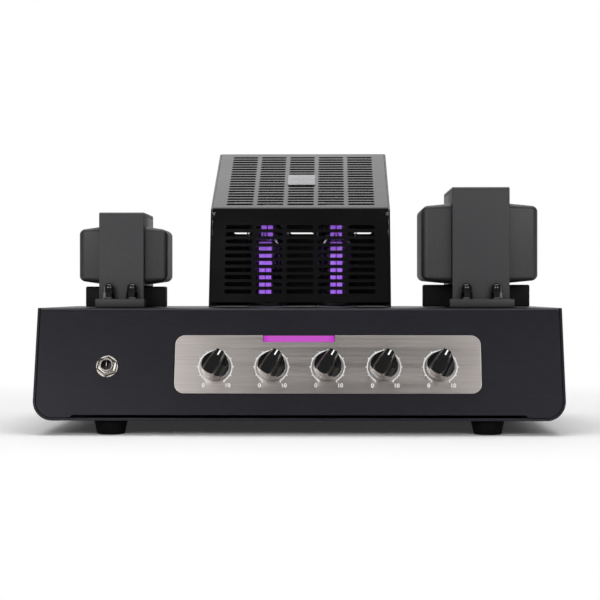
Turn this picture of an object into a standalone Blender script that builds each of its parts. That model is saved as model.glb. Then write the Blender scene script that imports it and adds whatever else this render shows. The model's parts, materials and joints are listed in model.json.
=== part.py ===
"""Compact valve amplifier head: chassis, controls, transformers, valves and perforated cage.

Sizes are in millimetres and MM turns them into Blender's metres. X runs to the right, Y to the back and
Z up. While modelling, Y is zero at the front-top edge of the chassis and Z is zero on the floor; the root
empty then centres the whole amplifier over the origin.
"""
from math import cos, pi, radians, sin, tan

import bmesh
import bpy
from mathutils import Matrix, Vector

MM = 0.001
GAP = 0.3

# Chassis
WIDTH = 372.0
FOOT_HEIGHT = 10.0
CHASSIS_HEIGHT = 78.3
TOP_Z = FOOT_HEIGHT + CHASSIS_HEIGHT
TOP_DEPTH = 197.0
TILT = radians(18)
SHEET = 1.6
TRAY_SHEET = 1.8
TRAY_CORNER = 14.0
TRAY_SEAM = 0.4
BEND = 4.0
SKIRT_NOTCH_HALF = 158.0
SKIRT_NOTCH_HEIGHT = 1.8
CUT_REACH = 8.0

# Feet
FOOT_X = 132.5
FOOT_FRONT_Y = -10.0
FOOT_REAR_Y = 180.0
FOOT_TOP_RADIUS = 11.75
FOOT_BASE_RADIUS = 10.0

# Front controls, with depths below the chassis top measured straight down
PLATE_CENTRE_X = 20.3
PLATE_WIDTH = 215.0
PLATE_TOP_DROP = 19.6
PLATE_BASE_DROP = 59.9
PLATE_CORNER = 7.0
PLATE_SHEET = 1.2
KNOB_COUNT = 5
KNOB_PITCH = 39.4
KNOB_DROP = 41.6
KNOB_RADIUS = 10.2
KNOB_HEIGHT = 15.5
KNOB_REST_ANGLE = radians(30)
KNOB_BAR_HALF = 3.5
KNOB_BAR_TAPER = radians(3.5)
KNOB_SCOOP_RADIUS = 12.0
KNOB_SCOOP_DROP = 1.2
KNOB_DRAFT = 0.7
KNOB_BORE_DEPTH = 11.0
SHAFT_RADIUS = 3.0
BUSHING_RADIUS = 4.5
HOLE_PLAY = 0.4
POT_RADIUS = 8.25
POT_DEPTH = 9.0
POT_FLOOR = 1.4
LENS_WIDTH = 50.0
LENS_TOP_DROP = 19.9
LENS_BASE_DROP = 24.1
JACK_X = -134.8
JACK_DROP = 41.2
JACK_BORE_RADIUS = 3.6
JACK_BUSHING_RADIUS = 4.75
JACK_HOUSING = (17.0, 20.0, 25.0)
JACK_FACE = 5.6
JACK_FLOOR = 2.0
NUT_FLATS = 13.0
NUT_TOP = 3.8
WASHER_RADIUS = 7.9
WASHER_TOP = 1.1

# Heights out of the front panel
PLATE_BACK = GAP
PLATE_FACE = PLATE_BACK + PLATE_SHEET
KNOB_BASE = PLATE_FACE + 0.5
LENS_FACE = PLATE_FACE + 0.2
PANEL_BACK = -SHEET - GAP
POT_BACK = PANEL_BACK - POT_DEPTH
BOARD_FACE = POT_BACK - GAP
LENS_BACK = PANEL_BACK - 0.6

# Cage, with heights above the chassis top
CAGE_WIDTH = 132.0
CAGE_SHEET = 1.2
CAGE_BEND = 3.0
CAGE_BACK_BEND = 1.5
CAGE_LIP = 5.0
CAGE_FRONT_Y = 23.0
CAGE_SKIRT_GAP = 4.0
CAGE_BEND_HEIGHT = 73.3
CAGE_BACK_Y = 155.8
CAGE_BACK_HEIGHT = 122.5
CAGE_RELIEF_WIDTH = 2.0
CAGE_RELIEF_SPAN = (71.0, 74.0)
SLOT_LENGTH = 19.1
SLOT_HEIGHT = 3.2
SLOT_END_STEPS = 2
SLOT_COLUMNS = 5
SLOT_COLUMN_PITCH = 22.5
FRONT_ROWS = 10
FRONT_FIRST_ROW = 12.3
FRONT_ROW_PITCH = 5.54
TOP_ROWS = 20
TOP_FIRST_ROW = 7.5
TOP_ROW_PITCH = 5.34
BADGE_START = 47.0
BADGE_END = 68.5
BACK_ROWS = 7
BACK_FIRST_ROW = 60.0
BACK_ROW_PITCH = 8.0

# Valves
VALVE_X = 26.5
PREAMP_Y = 62.0
POWER_Y = 108.0

PREAMP_RADIUS = 10.5
POWER_RADIUS = 16.2
POWER_BASE_HEIGHT = 20.0
GLASS_WALL = 0.9
PREAMP_HOLE = 13.5
POWER_HOLE = 17.0
SOCKET_DEPTH = 22.0

# Inside
BOARD_SHEET = 1.6
CAPACITORS = ((-105, 100), (-80, 100), (80, 120), (105, 120))

# Rear fittings, below the chassis top
REAR_DROP = 42.0
INLET_BODY = (27.2, 19.6)
INLET_FLANGE = (50.0, 23.0)
SWITCH_BODY = (13.0, 19.0)
ROCKER_HALF = 4.7
ROCKER_PIVOT = -0.5
LINE_BODY_RADIUS = 11.5
INLET_X = 140.0
SWITCH_X = 96.0
SPEAKER_JACK_X = (-62.0, -32.0)
LINE_OUT_X = -120.0
ROCKER_TILT = radians(12)

OUTPUT = dict(name="output", x=-129.5, front=25.0, depth=67.0, height=69.2, stack=32.4, bell=15.8,
              bell_low=17.3, bell_high=59.2, nuts=16.5, flange_extra=1.5, shroud=59.0, shroud_height=15.5)
MAINS = dict(name="mains", x=131.0, front=25.0, depth=94.0, height=87.4, stack=41.3, bell=21.4,
             bell_low=18.0, bell_high=76.0, nuts=21.3, flange_extra=2.5, shroud=79.0, shroud_height=16.9)
STRAP_SHEET = 2.0
STRAP_BEND = 2.6
FLANGE_LENGTH = 10.0
FLANGE_HEIGHT = 6.0
BELL_CORNER = 5.0
BELL_TAPER = 1.6
BELL_SHEET = 1.4
BELL_BORDER = 8.0
SHROUD_DEPTH = 17.0


# Helpers for meshes, objects and materials

def material(name, colour, roughness, metallic=0.0):
    made = bpy.data.materials.new(name)
    made.use_nodes = True
    shader = made.node_tree.nodes["Principled BSDF"]
    shader.inputs["Base Color"].default_value = (*colour, 1.0)
    shader.inputs["Roughness"].default_value = roughness
    shader.inputs["Metallic"].default_value = metallic
    return made


def empty(name, location, rotation=(0, 0, 0), parent=None):
    made = bpy.data.objects.new(name, None)
    bpy.context.scene.collection.objects.link(made)
    made.location = Vector(location) * MM
    made.rotation_euler = rotation
    made.parent = parent
    return made


def mesh_object(name, bm, parent, location=(0, 0, 0), rotation=(0, 0, 0)):
    bmesh.ops.scale(bm, vec=(MM, MM, MM), verts=bm.verts)
    mesh = bpy.data.meshes.new(name)
    bm.to_mesh(mesh)
    bm.free()
    made = bpy.data.objects.new(name, mesh)
    bpy.context.scene.collection.objects.link(made)
    made.parent = parent
    made.location = Vector(location) * MM
    made.rotation_euler = rotation
    return made


def piece(name, bm, finish, parent, location=(0, 0, 0), rotation=(0, 0, 0)):
    bmesh.ops.recalc_face_normals(bm, faces=bm.faces)
    made = mesh_object(name, bm, parent, location, rotation)
    made.data.materials.append(finish)
    made.data.shade_smooth()
    made.data.set_sharp_from_angle(angle=radians(35))
    return made


def boolean(target, bm, operation, solver="EXACT"):
    bmesh.ops.recalc_face_normals(bm, faces=bm.faces)
    tool = mesh_object(target.name + "_" + operation.lower(), bm, target)
    tool.hide_render = True
    tool.display_type = "WIRE"
    modifier = target.modifiers.new(operation.title(), "BOOLEAN")
    modifier.operation = operation
    modifier.object = tool
    modifier.solver = solver


def cut(target, bm, solver="EXACT"):
    boolean(target, bm, "DIFFERENCE", solver)


def add(target, bm):
    boolean(target, bm, "UNION")


def thicken(target, sheet):
    modifier = target.modifiers.new("Solidify", "SOLIDIFY")
    modifier.thickness = sheet * MM
    modifier.offset = -1.0
    modifier.use_even_offset = True


def arc(centre, radius, start, end, steps):
    angles = [start + (end - start) * i / steps for i in range(steps + 1)]
    return [(centre[0] + radius * cos(a), centre[1] + radius * sin(a)) for a in angles]


def rounded_outline(width, height, radius, steps=4):
    points = []
    for quarter in range(4):
        start = quarter * pi / 2
        side_x = 1 if quarter in (0, 3) else -1
        side_y = 1 if quarter in (0, 1) else -1
        centre = (side_x * (width / 2 - radius), side_y * (height / 2 - radius))
        points += arc(centre, radius, start, start + pi / 2, steps)
    return points


def slab(points, vector):
    """Flat outline pushed along a vector."""
    bm = bmesh.new()
    face = bm.faces.new([bm.verts.new(p) for p in points])
    pushed = bmesh.ops.extrude_face_region(bm, geom=[face])
    far_side = [v for v in pushed["geom"] if isinstance(v, bmesh.types.BMVert)]
    bmesh.ops.translate(bm, vec=vector, verts=far_side)
    return bm


def plate(outline, low, high):
    """Outline in XY, from height low to height high."""
    return slab([(x, y, low) for x, y in outline], (0, 0, high - low))


def box(low, high):
    outline = [(low[0], low[1]), (high[0], low[1]), (high[0], high[1]), (low[0], high[1])]
    return plate(outline, low[2], high[2])


def cylinder(radius, low, high, segments, centre=(0, 0)):
    outline = arc(centre, radius, 0, 2 * pi, segments)[:-1]
    return plate(outline, low, high)


def turned(profile, segments, centre=(0, 0)):
    """Profile of (radius, height) points that starts and ends on the axis, turned about Z."""
    bm = bmesh.new()
    verts = [bm.verts.new((r, 0, z)) for r, z in profile]
    edges = [bm.edges.new(pair) for pair in zip(verts, verts[1:])]
    bmesh.ops.spin(bm, geom=verts + edges, cent=(0, 0, 0), axis=(0, 0, 1), angle=2 * pi,
                   steps=segments, use_duplicate=False)
    bmesh.ops.remove_doubles(bm, verts=bm.verts, dist=0.001)
    bmesh.ops.translate(bm, vec=(*centre, 0), verts=bm.verts)
    return bm


def joined(parts):
    """Several closed shapes as one mesh, to cut or to add in one step."""
    bm = bmesh.new()
    for part in parts:
        mesh = bpy.data.meshes.new("joined")
        part.to_mesh(mesh)
        part.free()
        bm.from_mesh(mesh)
        bpy.data.meshes.remove(mesh)
    return bm


def folded(corners, radius, x_low, x_high, steps=3):
    """Open sheet that follows a bent path of (y, z) corners, between two X values."""
    path = [corners[0]]
    for before, corner, after in zip(corners, corners[1:], corners[2:]):
        middle = Vector(corner)
        back = (Vector(before) - middle).normalized()
        ahead = (Vector(after) - middle).normalized()
        half = back.angle(ahead) / 2
        centre = middle + (back + ahead).normalized() * (radius / sin(half))
        start = middle + back * (radius / tan(half)) - centre
        end = middle + ahead * (radius / tan(half)) - centre
        for i in range(steps + 1):
            spoke = start.slerp(end, i / steps).normalized() * radius
            path.append(tuple(centre + spoke))
    path.append(corners[-1])
    bm = bmesh.new()
    rows = [[bm.verts.new((x, y, z)) for y, z in path] for x in (x_low, x_high)]
    for i in range(len(path) - 1):
        bm.faces.new((rows[0][i], rows[1][i], rows[1][i + 1], rows[0][i + 1]))
    return bm


def sheet_piece(name, bm, sheet, finish, parent):
    made = mesh_object(name, bm, parent)
    made.data.materials.append(finish)
    thicken(made, sheet)
    return made


# Chassis

def front_y(z):
    return -(TOP_Z - z) * tan(TILT)


def along_panel(drop):
    """Distance down the tilted panel for a straight drop below the chassis top."""
    return drop / cos(TILT)


def tray_outline(inset):
    half = WIDTH / 2 - inset
    base = FOOT_HEIGHT + inset
    radius = TRAY_CORNER - inset
    left = arc((-half + radius, base + radius), radius, pi, 1.5 * pi, 5)
    right = arc((half - radius, base + radius), radius, 1.5 * pi, 2 * pi, 5)
    return [(-half, TOP_Z)] + left + right + [(half, TOP_Z)]


def bottom_tray(finish, root):
    outline = tray_outline(0) + tray_outline(TRAY_SHEET)[::-1]
    bm = bmesh.new()
    front = [bm.verts.new((x, front_y(z), z)) for x, z in outline]
    back = [bm.verts.new((x, TOP_DEPTH, z)) for x, z in outline]
    bm.faces.new(front)
    bm.faces.new(back)
    count = len(outline)
    for i in range(count):
        after = (i + 1) % count
        bm.faces.new((front[i], front[after], back[after], back[i]))
    return piece("bottom_tray", bm, finish, root)


def skirt_cutter():
    """Everything below the round-cornered opening of the tray, and the raised middle of the skirt."""
    opening = tray_outline(TRAY_SHEET + TRAY_SEAM)[1:-1]
    reach = WIDTH / 2 + 10
    low = FOOT_HEIGHT - 5
    corner_z = FOOT_HEIGHT + TRAY_CORNER
    outline = [(-reach, corner_z)] + opening + [(reach, corner_z), (reach, low), (-reach, low)]
    return slab([(x, -60, z) for x, z in outline], (0, 320, 0))


def notch_cutter():
    low = FOOT_HEIGHT
    high = FOOT_HEIGHT + TRAY_SHEET + TRAY_SEAM + SKIRT_NOTCH_HEIGHT
    run = high - low
    outline = [(-SKIRT_NOTCH_HALF - run, low), (SKIRT_NOTCH_HALF + run, low),
               (SKIRT_NOTCH_HALF, high), (-SKIRT_NOTCH_HALF, high)]
    return slab([(x, -60, z) for x, z in outline], (0, 80, 0))


def moved(bm, frame, drop, x):
    """Carries a cutter made about its own Z axis to a place on the front or rear panel."""
    matrix = frame @ Matrix.Translation((x, 0, -drop)) @ Matrix.Rotation(pi / 2, 4, "X")
    bmesh.ops.transform(bm, matrix=matrix, verts=bm.verts)
    return bm


def panel_frame():
    return Matrix.Translation((0, 0, TOP_Z)) @ Matrix.Rotation(-TILT, 4, "X")


def rear_matrix():
    return Matrix.Translation((0, TOP_DEPTH, TOP_Z))


def knob_x(index):
    return PLATE_CENTRE_X + KNOB_PITCH * (index - (KNOB_COUNT - 1) / 2)


def lens_height():
    return along_panel(LENS_BASE_DROP - LENS_TOP_DROP)


def lens_drop():
    return along_panel((LENS_BASE_DROP + LENS_TOP_DROP) / 2)


def shell_openings():
    front = panel_frame()
    parts = []
    for index in range(KNOB_COUNT):
        hole = cylinder(BUSHING_RADIUS + HOLE_PLAY, -CUT_REACH, CUT_REACH, 12)
        parts.append(moved(hole, front, along_panel(KNOB_DROP), knob_x(index)))
    hole = cylinder(JACK_BUSHING_RADIUS + HOLE_PLAY, -CUT_REACH, CUT_REACH, 16)
    parts.append(moved(hole, front, along_panel(JACK_DROP), JACK_X))
    hole = window(LENS_WIDTH, lens_height())
    parts.append(moved(hole, front, lens_drop(), 0))
    for side in (-1, 1):
        for radius, y in ((PREAMP_HOLE, PREAMP_Y), (POWER_HOLE, POWER_Y)):
            hole = cylinder(radius, TOP_Z - CUT_REACH, TOP_Z + CUT_REACH, 16, (side * VALVE_X, y))
            parts.append(hole)
    return joined(parts)


def rear_openings():
    rear = rear_matrix()
    parts = []
    for x in SPEAKER_JACK_X:
        hole = cylinder(JACK_BUSHING_RADIUS + HOLE_PLAY, -CUT_REACH, CUT_REACH, 16)
        parts.append(moved(hole, rear, REAR_DROP, x))
    for x, size in ((INLET_X, INLET_BODY), (SWITCH_X, SWITCH_BODY)):
        parts.append(moved(window(*size), rear, REAR_DROP, x))
    hole = cylinder(LINE_BODY_RADIUS + GAP, -CUT_REACH, CUT_REACH, 24)
    parts.append(moved(hole, rear, REAR_DROP, LINE_OUT_X))
    return joined(parts)


def window(width, height):
    """Rectangular cutter with a little room round what it takes."""
    half_width = width / 2 + GAP
    half_height = height / 2 + GAP
    return box((-half_width, -half_height, -CUT_REACH), (half_width, half_height, CUT_REACH))


def shell_half_width():
    return WIDTH / 2 - TRAY_SHEET - TRAY_SEAM


def chassis_shell(finish, root):
    """Front panel and top, folded from one sheet."""
    half = shell_half_width()
    low = FOOT_HEIGHT
    corners = [(front_y(low), low), (0, TOP_Z), (TOP_DEPTH - SHEET - GAP, TOP_Z)]
    made = sheet_piece("chassis_shell", folded(corners, BEND, -half, half), SHEET, finish, root)
    cut(made, skirt_cutter())
    cut(made, notch_cutter())
    cut(made, shell_openings())


def rear_panel(finish, root):
    """Flat sheet that closes the chassis behind its top."""
    half = shell_half_width()
    bm = box((-half, TOP_DEPTH - SHEET, FOOT_HEIGHT), (half, TOP_DEPTH, TOP_Z))
    made = piece("rear_panel", bm, finish, root)
    cut(made, skirt_cutter())
    cut(made, rear_openings())


def feet(finish, root):
    profile = [(0, 4), (4, 4), (4, 0), (FOOT_BASE_RADIUS - 0.8, 0), (FOOT_BASE_RADIUS, 0.8),
               (FOOT_TOP_RADIUS, FOOT_HEIGHT - 2), (FOOT_TOP_RADIUS, FOOT_HEIGHT - GAP),
               (0, FOOT_HEIGHT - GAP)]
    for end, y in (("front", FOOT_FRONT_Y), ("rear", FOOT_REAR_Y)):
        for side, x in (("left", -FOOT_X), ("right", FOOT_X)):
            piece(f"foot_{end}_{side}", turned(profile, 16), finish, root, (x, y, 0))


# Front controls, in a frame whose Z runs out of the tilted panel

def control_plate(finish, panel):
    top = along_panel(PLATE_TOP_DROP)
    base = along_panel(PLATE_BASE_DROP)
    height = base - top
    bm = plate(rounded_outline(PLATE_WIDTH, height, PLATE_CORNER), PLATE_BACK, PLATE_FACE)
    made = piece("control_plate", bm, finish, panel, (PLATE_CENTRE_X, 0, -(top + base) / 2),
                 (pi / 2, 0, 0))
    holes = [cylinder(BUSHING_RADIUS + HOLE_PLAY, -5, 5, 12, (knob_x(i) - PLATE_CENTRE_X, 0))
             for i in range(KNOB_COUNT)]
    for hole in holes:
        lift = (top + base) / 2 - along_panel(KNOB_DROP)
        bmesh.ops.translate(hole, vec=(0, lift, 0), verts=hole.verts)
    half_width = LENS_WIDTH / 2 + GAP
    notch_base = height / 2 - (lens_drop() + lens_height() / 2 + GAP - top)
    notch = box((-half_width - PLATE_CENTRE_X, notch_base, -5), (half_width - PLATE_CENTRE_X, height, 5))
    cut(made, joined(holes + [notch]))


def status_lens(finish, panel):
    half_width = LENS_WIDTH / 2
    half_height = lens_height() / 2
    bm = box((-half_width, -half_height, LENS_BACK), (half_width, half_height, LENS_FACE))
    piece("status_lens", bm, finish, panel, (0, 0, -lens_drop()), (pi / 2, 0, 0))


def potentiometer(index, finish, panel):
    bore = SHAFT_RADIUS + HOLE_PLAY
    floor = POT_BACK + POT_FLOOR
    profile = [(0, POT_BACK), (POT_RADIUS, POT_BACK), (POT_RADIUS, PANEL_BACK), (BUSHING_RADIUS, PANEL_BACK),
               (BUSHING_RADIUS, PLATE_FACE), (bore, PLATE_FACE), (bore, floor), (0, floor)]
    place = (knob_x(index), 0, -along_panel(KNOB_DROP))
    piece(f"pot_{index + 1}", turned(profile, 12), finish, panel, place, (pi / 2, 0, 0))


def knob_cutter():
    """Finger scoops on both sides of the grip bar."""
    parts = []
    for side in (-1, 1):
        scoop = cylinder(KNOB_SCOOP_RADIUS, -KNOB_RADIUS - 2, KNOB_RADIUS + 2, 20)
        offset = side * (KNOB_BAR_HALF + KNOB_SCOOP_RADIUS)
        turn = Matrix.Translation((offset, 0, KNOB_HEIGHT - KNOB_SCOOP_DROP))
        turn = turn @ Matrix.Rotation(side * KNOB_BAR_TAPER, 4, "Z") @ Matrix.Rotation(pi / 2, 4, "X")
        bmesh.ops.transform(scoop, matrix=turn, verts=scoop.verts)
        parts.append(scoop)
    return joined(parts)


def knob(index, finish, metal, panel):
    axis = empty(f"knob_axis_{index + 1}", (knob_x(index), 0, -along_panel(KNOB_DROP)), (pi / 2, 0, 0), panel)
    bore = SHAFT_RADIUS + GAP
    top_radius = KNOB_RADIUS - KNOB_DRAFT
    profile = [(0, KNOB_BORE_DEPTH), (bore, KNOB_BORE_DEPTH), (bore, 0), (KNOB_RADIUS, 0), (KNOB_RADIUS, 2),
               (top_radius, KNOB_HEIGHT - 0.9), (top_radius - 0.9, KNOB_HEIGHT), (0, KNOB_HEIGHT)]
    turn = (0, 0, -KNOB_REST_ANGLE)
    made = piece(f"knob_{index + 1}", turned(profile, 20), finish, axis, (0, 0, KNOB_BASE), turn)
    cut(made, knob_cutter())
    low = POT_BACK + POT_FLOOR + GAP
    high = KNOB_BASE + KNOB_BORE_DEPTH - GAP
    profile = [(0, low), (SHAFT_RADIUS, low), (SHAFT_RADIUS, high - 0.6), (SHAFT_RADIUS - 0.6, high), (0, high)]
    piece(f"shaft_{index + 1}", turned(profile, 8), metal, axis, (0, 0, 0), turn)


def control_board(finish, panel):
    top = -lens_drop() + 5
    base = -along_panel(KNOB_DROP) - 15
    bm = box((-PLATE_WIDTH / 2 + 8, base, BOARD_FACE - BOARD_SHEET), (PLATE_WIDTH / 2 - 8, top, BOARD_FACE))
    made = piece("control_board", bm, finish, panel, (PLATE_CENTRE_X, 0, 0), (pi / 2, 0, 0))
    half = LENS_WIDTH / 2 - 2
    strip = box((-half - PLATE_CENTRE_X, -lens_drop() - 1.4, BOARD_FACE - 0.5),
                (half - PLATE_CENTRE_X, -lens_drop() + 1.4, LENS_BACK - GAP))
    add(made, strip)


def jack(name, finish, parent, place, rotation, washer_radius):
    """Quarter-inch socket: housing behind the panel, bushing with washer and nut in front, blind bore."""
    width, height, depth = JACK_HOUSING
    back = PANEL_BACK - depth
    made = piece(name, box((-width / 2, -height / 2, back), (width / 2, height / 2, PANEL_BACK)), finish,
                 parent, place, rotation)
    add(made, cylinder(JACK_BUSHING_RADIUS, PANEL_BACK - 1, JACK_FACE, 20))
    add(made, cylinder(washer_radius, GAP, WASHER_TOP, 20))
    add(made, cylinder(NUT_FLATS / 2 / cos(pi / 6), WASHER_TOP - 0.2, NUT_TOP, 6))
    cut(made, cylinder(JACK_BORE_RADIUS, back + JACK_FLOOR, JACK_FACE + 1, 20))


# Transformers, each in a frame at the middle of its strap's front face on the chassis top

def bell_form(spec, side, wall):
    """Round-edged box between the stack and the bell's end, drawn in by a wall and tapered to its end."""
    inner = spec["stack"] / 2 + GAP
    outer = spec["stack"] / 2 + spec["bell"] - wall
    mouth = inner - 2 if wall else inner
    front = BELL_BORDER + wall
    back = spec["depth"] - BELL_BORDER - wall
    low = spec["bell_low"] + wall
    high = spec["bell_high"] - wall
    bm = box((min(side * mouth, side * outer), front, low), (max(side * mouth, side * outer), back, high))
    for vert in bm.verts:
        if abs(vert.co.x) > inner + 1:
            vert.co.y += BELL_TAPER if vert.co.y < spec["depth"] / 2 else -BELL_TAPER
            vert.co.z += BELL_TAPER if vert.co.z < (low + high) / 2 else -BELL_TAPER
    soft = [e for e in bm.edges if any(abs(v.co.x) > inner + 1 for v in e.verts)]
    bmesh.ops.bevel(bm, geom=soft, offset=BELL_CORNER - wall, segments=2, profile=0.5, affect="EDGES")
    return bm


def end_bell(name, spec, side, finish, frame):
    made = piece(f"{spec['name']}_{name}", bell_form(spec, side, 0), finish, frame)
    cut(made, bell_form(spec, side, BELL_SHEET))


def transformer(spec, black, steel, copper, root):
    frame = empty(spec["name"] + "_frame", (spec["x"], spec["front"], TOP_Z), parent=root)
    name = spec["name"]
    half = spec["stack"] / 2
    depth = spec["depth"]
    height = spec["height"]
    middle = depth / 2
    leg = depth * 0.15
    window_out = depth * 0.32
    window_low = spec["bell_low"] + 6
    window_high = spec["bell_high"] - 5
    wall = STRAP_SHEET + GAP

    core = piece(name + "_core", box((-half, wall, spec["shroud_height"] + GAP),
                                     (half, depth - wall, height - wall)), steel, frame)
    windows = [box((-half - 5, middle - window_out, window_low), (half + 5, middle - leg, window_high)),
               box((-half - 5, middle + leg, window_low), (half + 5, middle + window_out, window_high))]
    cut(core, joined(windows))

    reach = half + spec["bell"] - BELL_SHEET - 1.5
    coil = piece(name + "_coil", box((-reach, middle - window_out + 0.5, window_low + 0.5),
                                     (reach, middle + window_out - 0.5, window_high - 0.5)), copper, frame)
    cut(coil, box((-half - 0.5, middle - leg - 0.5, 0), (half + 0.5, middle + leg + 0.5, height)))

    corners = [(0, GAP), (0, height), (depth, height), (depth, GAP)]
    strap = sheet_piece(name + "_strap", folded(corners, STRAP_BEND, -half, half), STRAP_SHEET, black, frame)
    foot_half = half + spec["flange_extra"]
    nut = [(0, FLANGE_HEIGHT - 1), (4.4, FLANGE_HEIGHT - 1), (4.4, FLANGE_HEIGHT + 6.5),
           (3.5, FLANGE_HEIGHT + 9.5), (1.8, FLANGE_HEIGHT + 11.5), (0, FLANGE_HEIGHT + 12)]
    for low, high in ((-FLANGE_LENGTH, 1.2), (depth - 1.2, depth + FLANGE_LENGTH)):
        add(strap, box((-foot_half, low, GAP), (foot_half, high, GAP + FLANGE_HEIGHT)))
    nut_ys = (-FLANGE_LENGTH / 2, depth + FLANGE_LENGTH / 2)
    nuts = [turned(nut, 8, (side * spec["nuts"] / 2, y)) for side in (-1, 1) for y in nut_ys]
    add(strap, joined(nuts))

    end_bell("bell_left", spec, -1, black, frame)
    end_bell("bell_right", spec, 1, black, frame)
    shroud_half = spec["shroud"] / 2
    piece(name + "_shroud", box((-shroud_half, middle - SHROUD_DEPTH / 2, GAP),
                                (shroud_half, middle + SHROUD_DEPTH / 2, spec["shroud_height"])), black, frame)


# Cage, in a frame on the chassis top

def cage_bend_y():
    return CAGE_FRONT_Y + CAGE_BEND_HEIGHT * tan(TILT)


def slope_vector():
    return Vector((CAGE_BACK_Y - cage_bend_y(), CAGE_BACK_HEIGHT - CAGE_BEND_HEIGHT)).normalized()


def slot_field(rows, first, pitch, bare=None):
    """Rows of round-ended slots in the XZ plane, with the middle column left whole over a bare span."""
    radius = SLOT_HEIGHT / 2
    reach = SLOT_LENGTH / 2 - radius
    slots = []
    for column in range(SLOT_COLUMNS):
        x = SLOT_COLUMN_PITCH * (column - (SLOT_COLUMNS - 1) / 2)
        for row in range(rows):
            z = first + pitch * row
            if bare and x == 0 and bare[0] - radius < z < bare[1] + radius:
                continue
            outline = arc((x + reach, z), radius, -pi / 2, pi / 2, SLOT_END_STEPS)
            outline += arc((x - reach, z), radius, pi / 2, 1.5 * pi, SLOT_END_STEPS)
            slots.append(slab([(px, -4, pz) for px, pz in outline], (0, 8, 0)))
    return joined(slots)


def placed(bm, y, z, turn):
    matrix = Matrix.Translation((0, y, z)) @ Matrix.Rotation(turn, 4, "X")
    bmesh.ops.transform(bm, matrix=matrix, verts=bm.verts)
    return bm


def screen_half_width():
    """The screens lie between the cage's side sheets."""
    return CAGE_WIDTH / 2 - CAGE_SHEET - GAP


def cage_front(finish, frame):
    half = screen_half_width()
    bend = Vector((cage_bend_y(), CAGE_BEND_HEIGHT))
    foot = (CAGE_FRONT_Y + CAGE_SKIRT_GAP * tan(TILT), CAGE_SKIRT_GAP)
    lip = bend + slope_vector() * CAGE_LIP
    made = sheet_piece("cage_front", folded([foot, tuple(bend), tuple(lip)], CAGE_BEND, -half, half),
                       CAGE_SHEET, finish, frame)
    slots = slot_field(FRONT_ROWS, FRONT_FIRST_ROW, FRONT_ROW_PITCH)
    low, high = CAGE_RELIEF_SPAN
    reliefs = [box((x - CAGE_RELIEF_WIDTH, -4, low), (x + CAGE_RELIEF_WIDTH, 4, high)) for x in (-half, half)]
    cut(made, placed(joined([slots] + reliefs), CAGE_FRONT_Y, 0, -TILT))


def cage_top(finish, frame):
    half = screen_half_width()
    slope = slope_vector()
    start = Vector((cage_bend_y(), CAGE_BEND_HEIGHT)) + slope * (CAGE_LIP + GAP)
    edge = (CAGE_BACK_Y, CAGE_BACK_HEIGHT)
    lip = (CAGE_BACK_Y, CAGE_BACK_HEIGHT - CAGE_LIP)
    made = sheet_piece("cage_top", folded([tuple(start), edge, lip], CAGE_BACK_BEND, -half, half),
                       CAGE_SHEET, finish, frame)
    slots = slot_field(TOP_ROWS, TOP_FIRST_ROW, TOP_ROW_PITCH, (BADGE_START, BADGE_END))
    turn = -(pi / 2 - slope.angle_signed(Vector((1, 0))))
    cut(made, placed(slots, cage_bend_y(), CAGE_BEND_HEIGHT, turn))


def cage_body(finish, frame):
    """Sides and back bent from one sheet, cut to the slope of the screens that lie between the sides."""
    half = CAGE_WIDTH / 2
    path = [(-half, CAGE_FRONT_Y), (-half, CAGE_BACK_Y), (half, CAGE_BACK_Y), (half, CAGE_FRONT_Y)]
    bm = folded(path, CAGE_BEND, GAP, CAGE_BACK_HEIGHT)
    turn = Matrix(((0, 1, 0, 0), (0, 0, 1, 0), (1, 0, 0, 0), (0, 0, 0, 1)))
    bmesh.ops.transform(bm, matrix=turn, verts=bm.verts)
    made = sheet_piece("cage_body", bm, CAGE_SHEET, finish, frame)
    slope = slope_vector()
    into_front = Vector((cos(TILT), -sin(TILT)))
    into_top = Vector((slope.y, -slope.x))
    bisector = (into_front + into_top).normalized()
    bend = Vector((cage_bend_y(), CAGE_BEND_HEIGHT)) + bisector * (GAP / bisector.dot(into_top))
    foot_y = CAGE_FRONT_Y - tan(TILT) + GAP / cos(TILT)
    reach = CAGE_BACK_Y + 20
    reach_z = bend.y + (reach - bend.x) * slope.y / slope.x
    outline = [(foot_y, -1), tuple(bend), (reach, reach_z), (reach, reach_z + 20), (-20, reach_z + 20), (-20, -1)]
    above = slab([(-half - 10, y, z) for y, z in outline], (CAGE_WIDTH + 20, 0, 0))
    lip_half = screen_half_width() + GAP
    lip_front = CAGE_BACK_Y - CAGE_SHEET - GAP - CAGE_BEND
    notch = box((-lip_half, lip_front, CAGE_BACK_HEIGHT - CAGE_LIP - GAP), (lip_half, reach, reach_z))
    slots = placed(slot_field(BACK_ROWS, BACK_FIRST_ROW, BACK_ROW_PITCH), CAGE_BACK_Y, 0, 0)
    for cutter in (above, notch, slots):
        cut(made, cutter, "MANIFOLD")


# Valves, in frames on the chassis top

def valve_frame(name, x, y, root):
    return empty(name + "_frame", (x, y, TOP_Z), parent=root)


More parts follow.
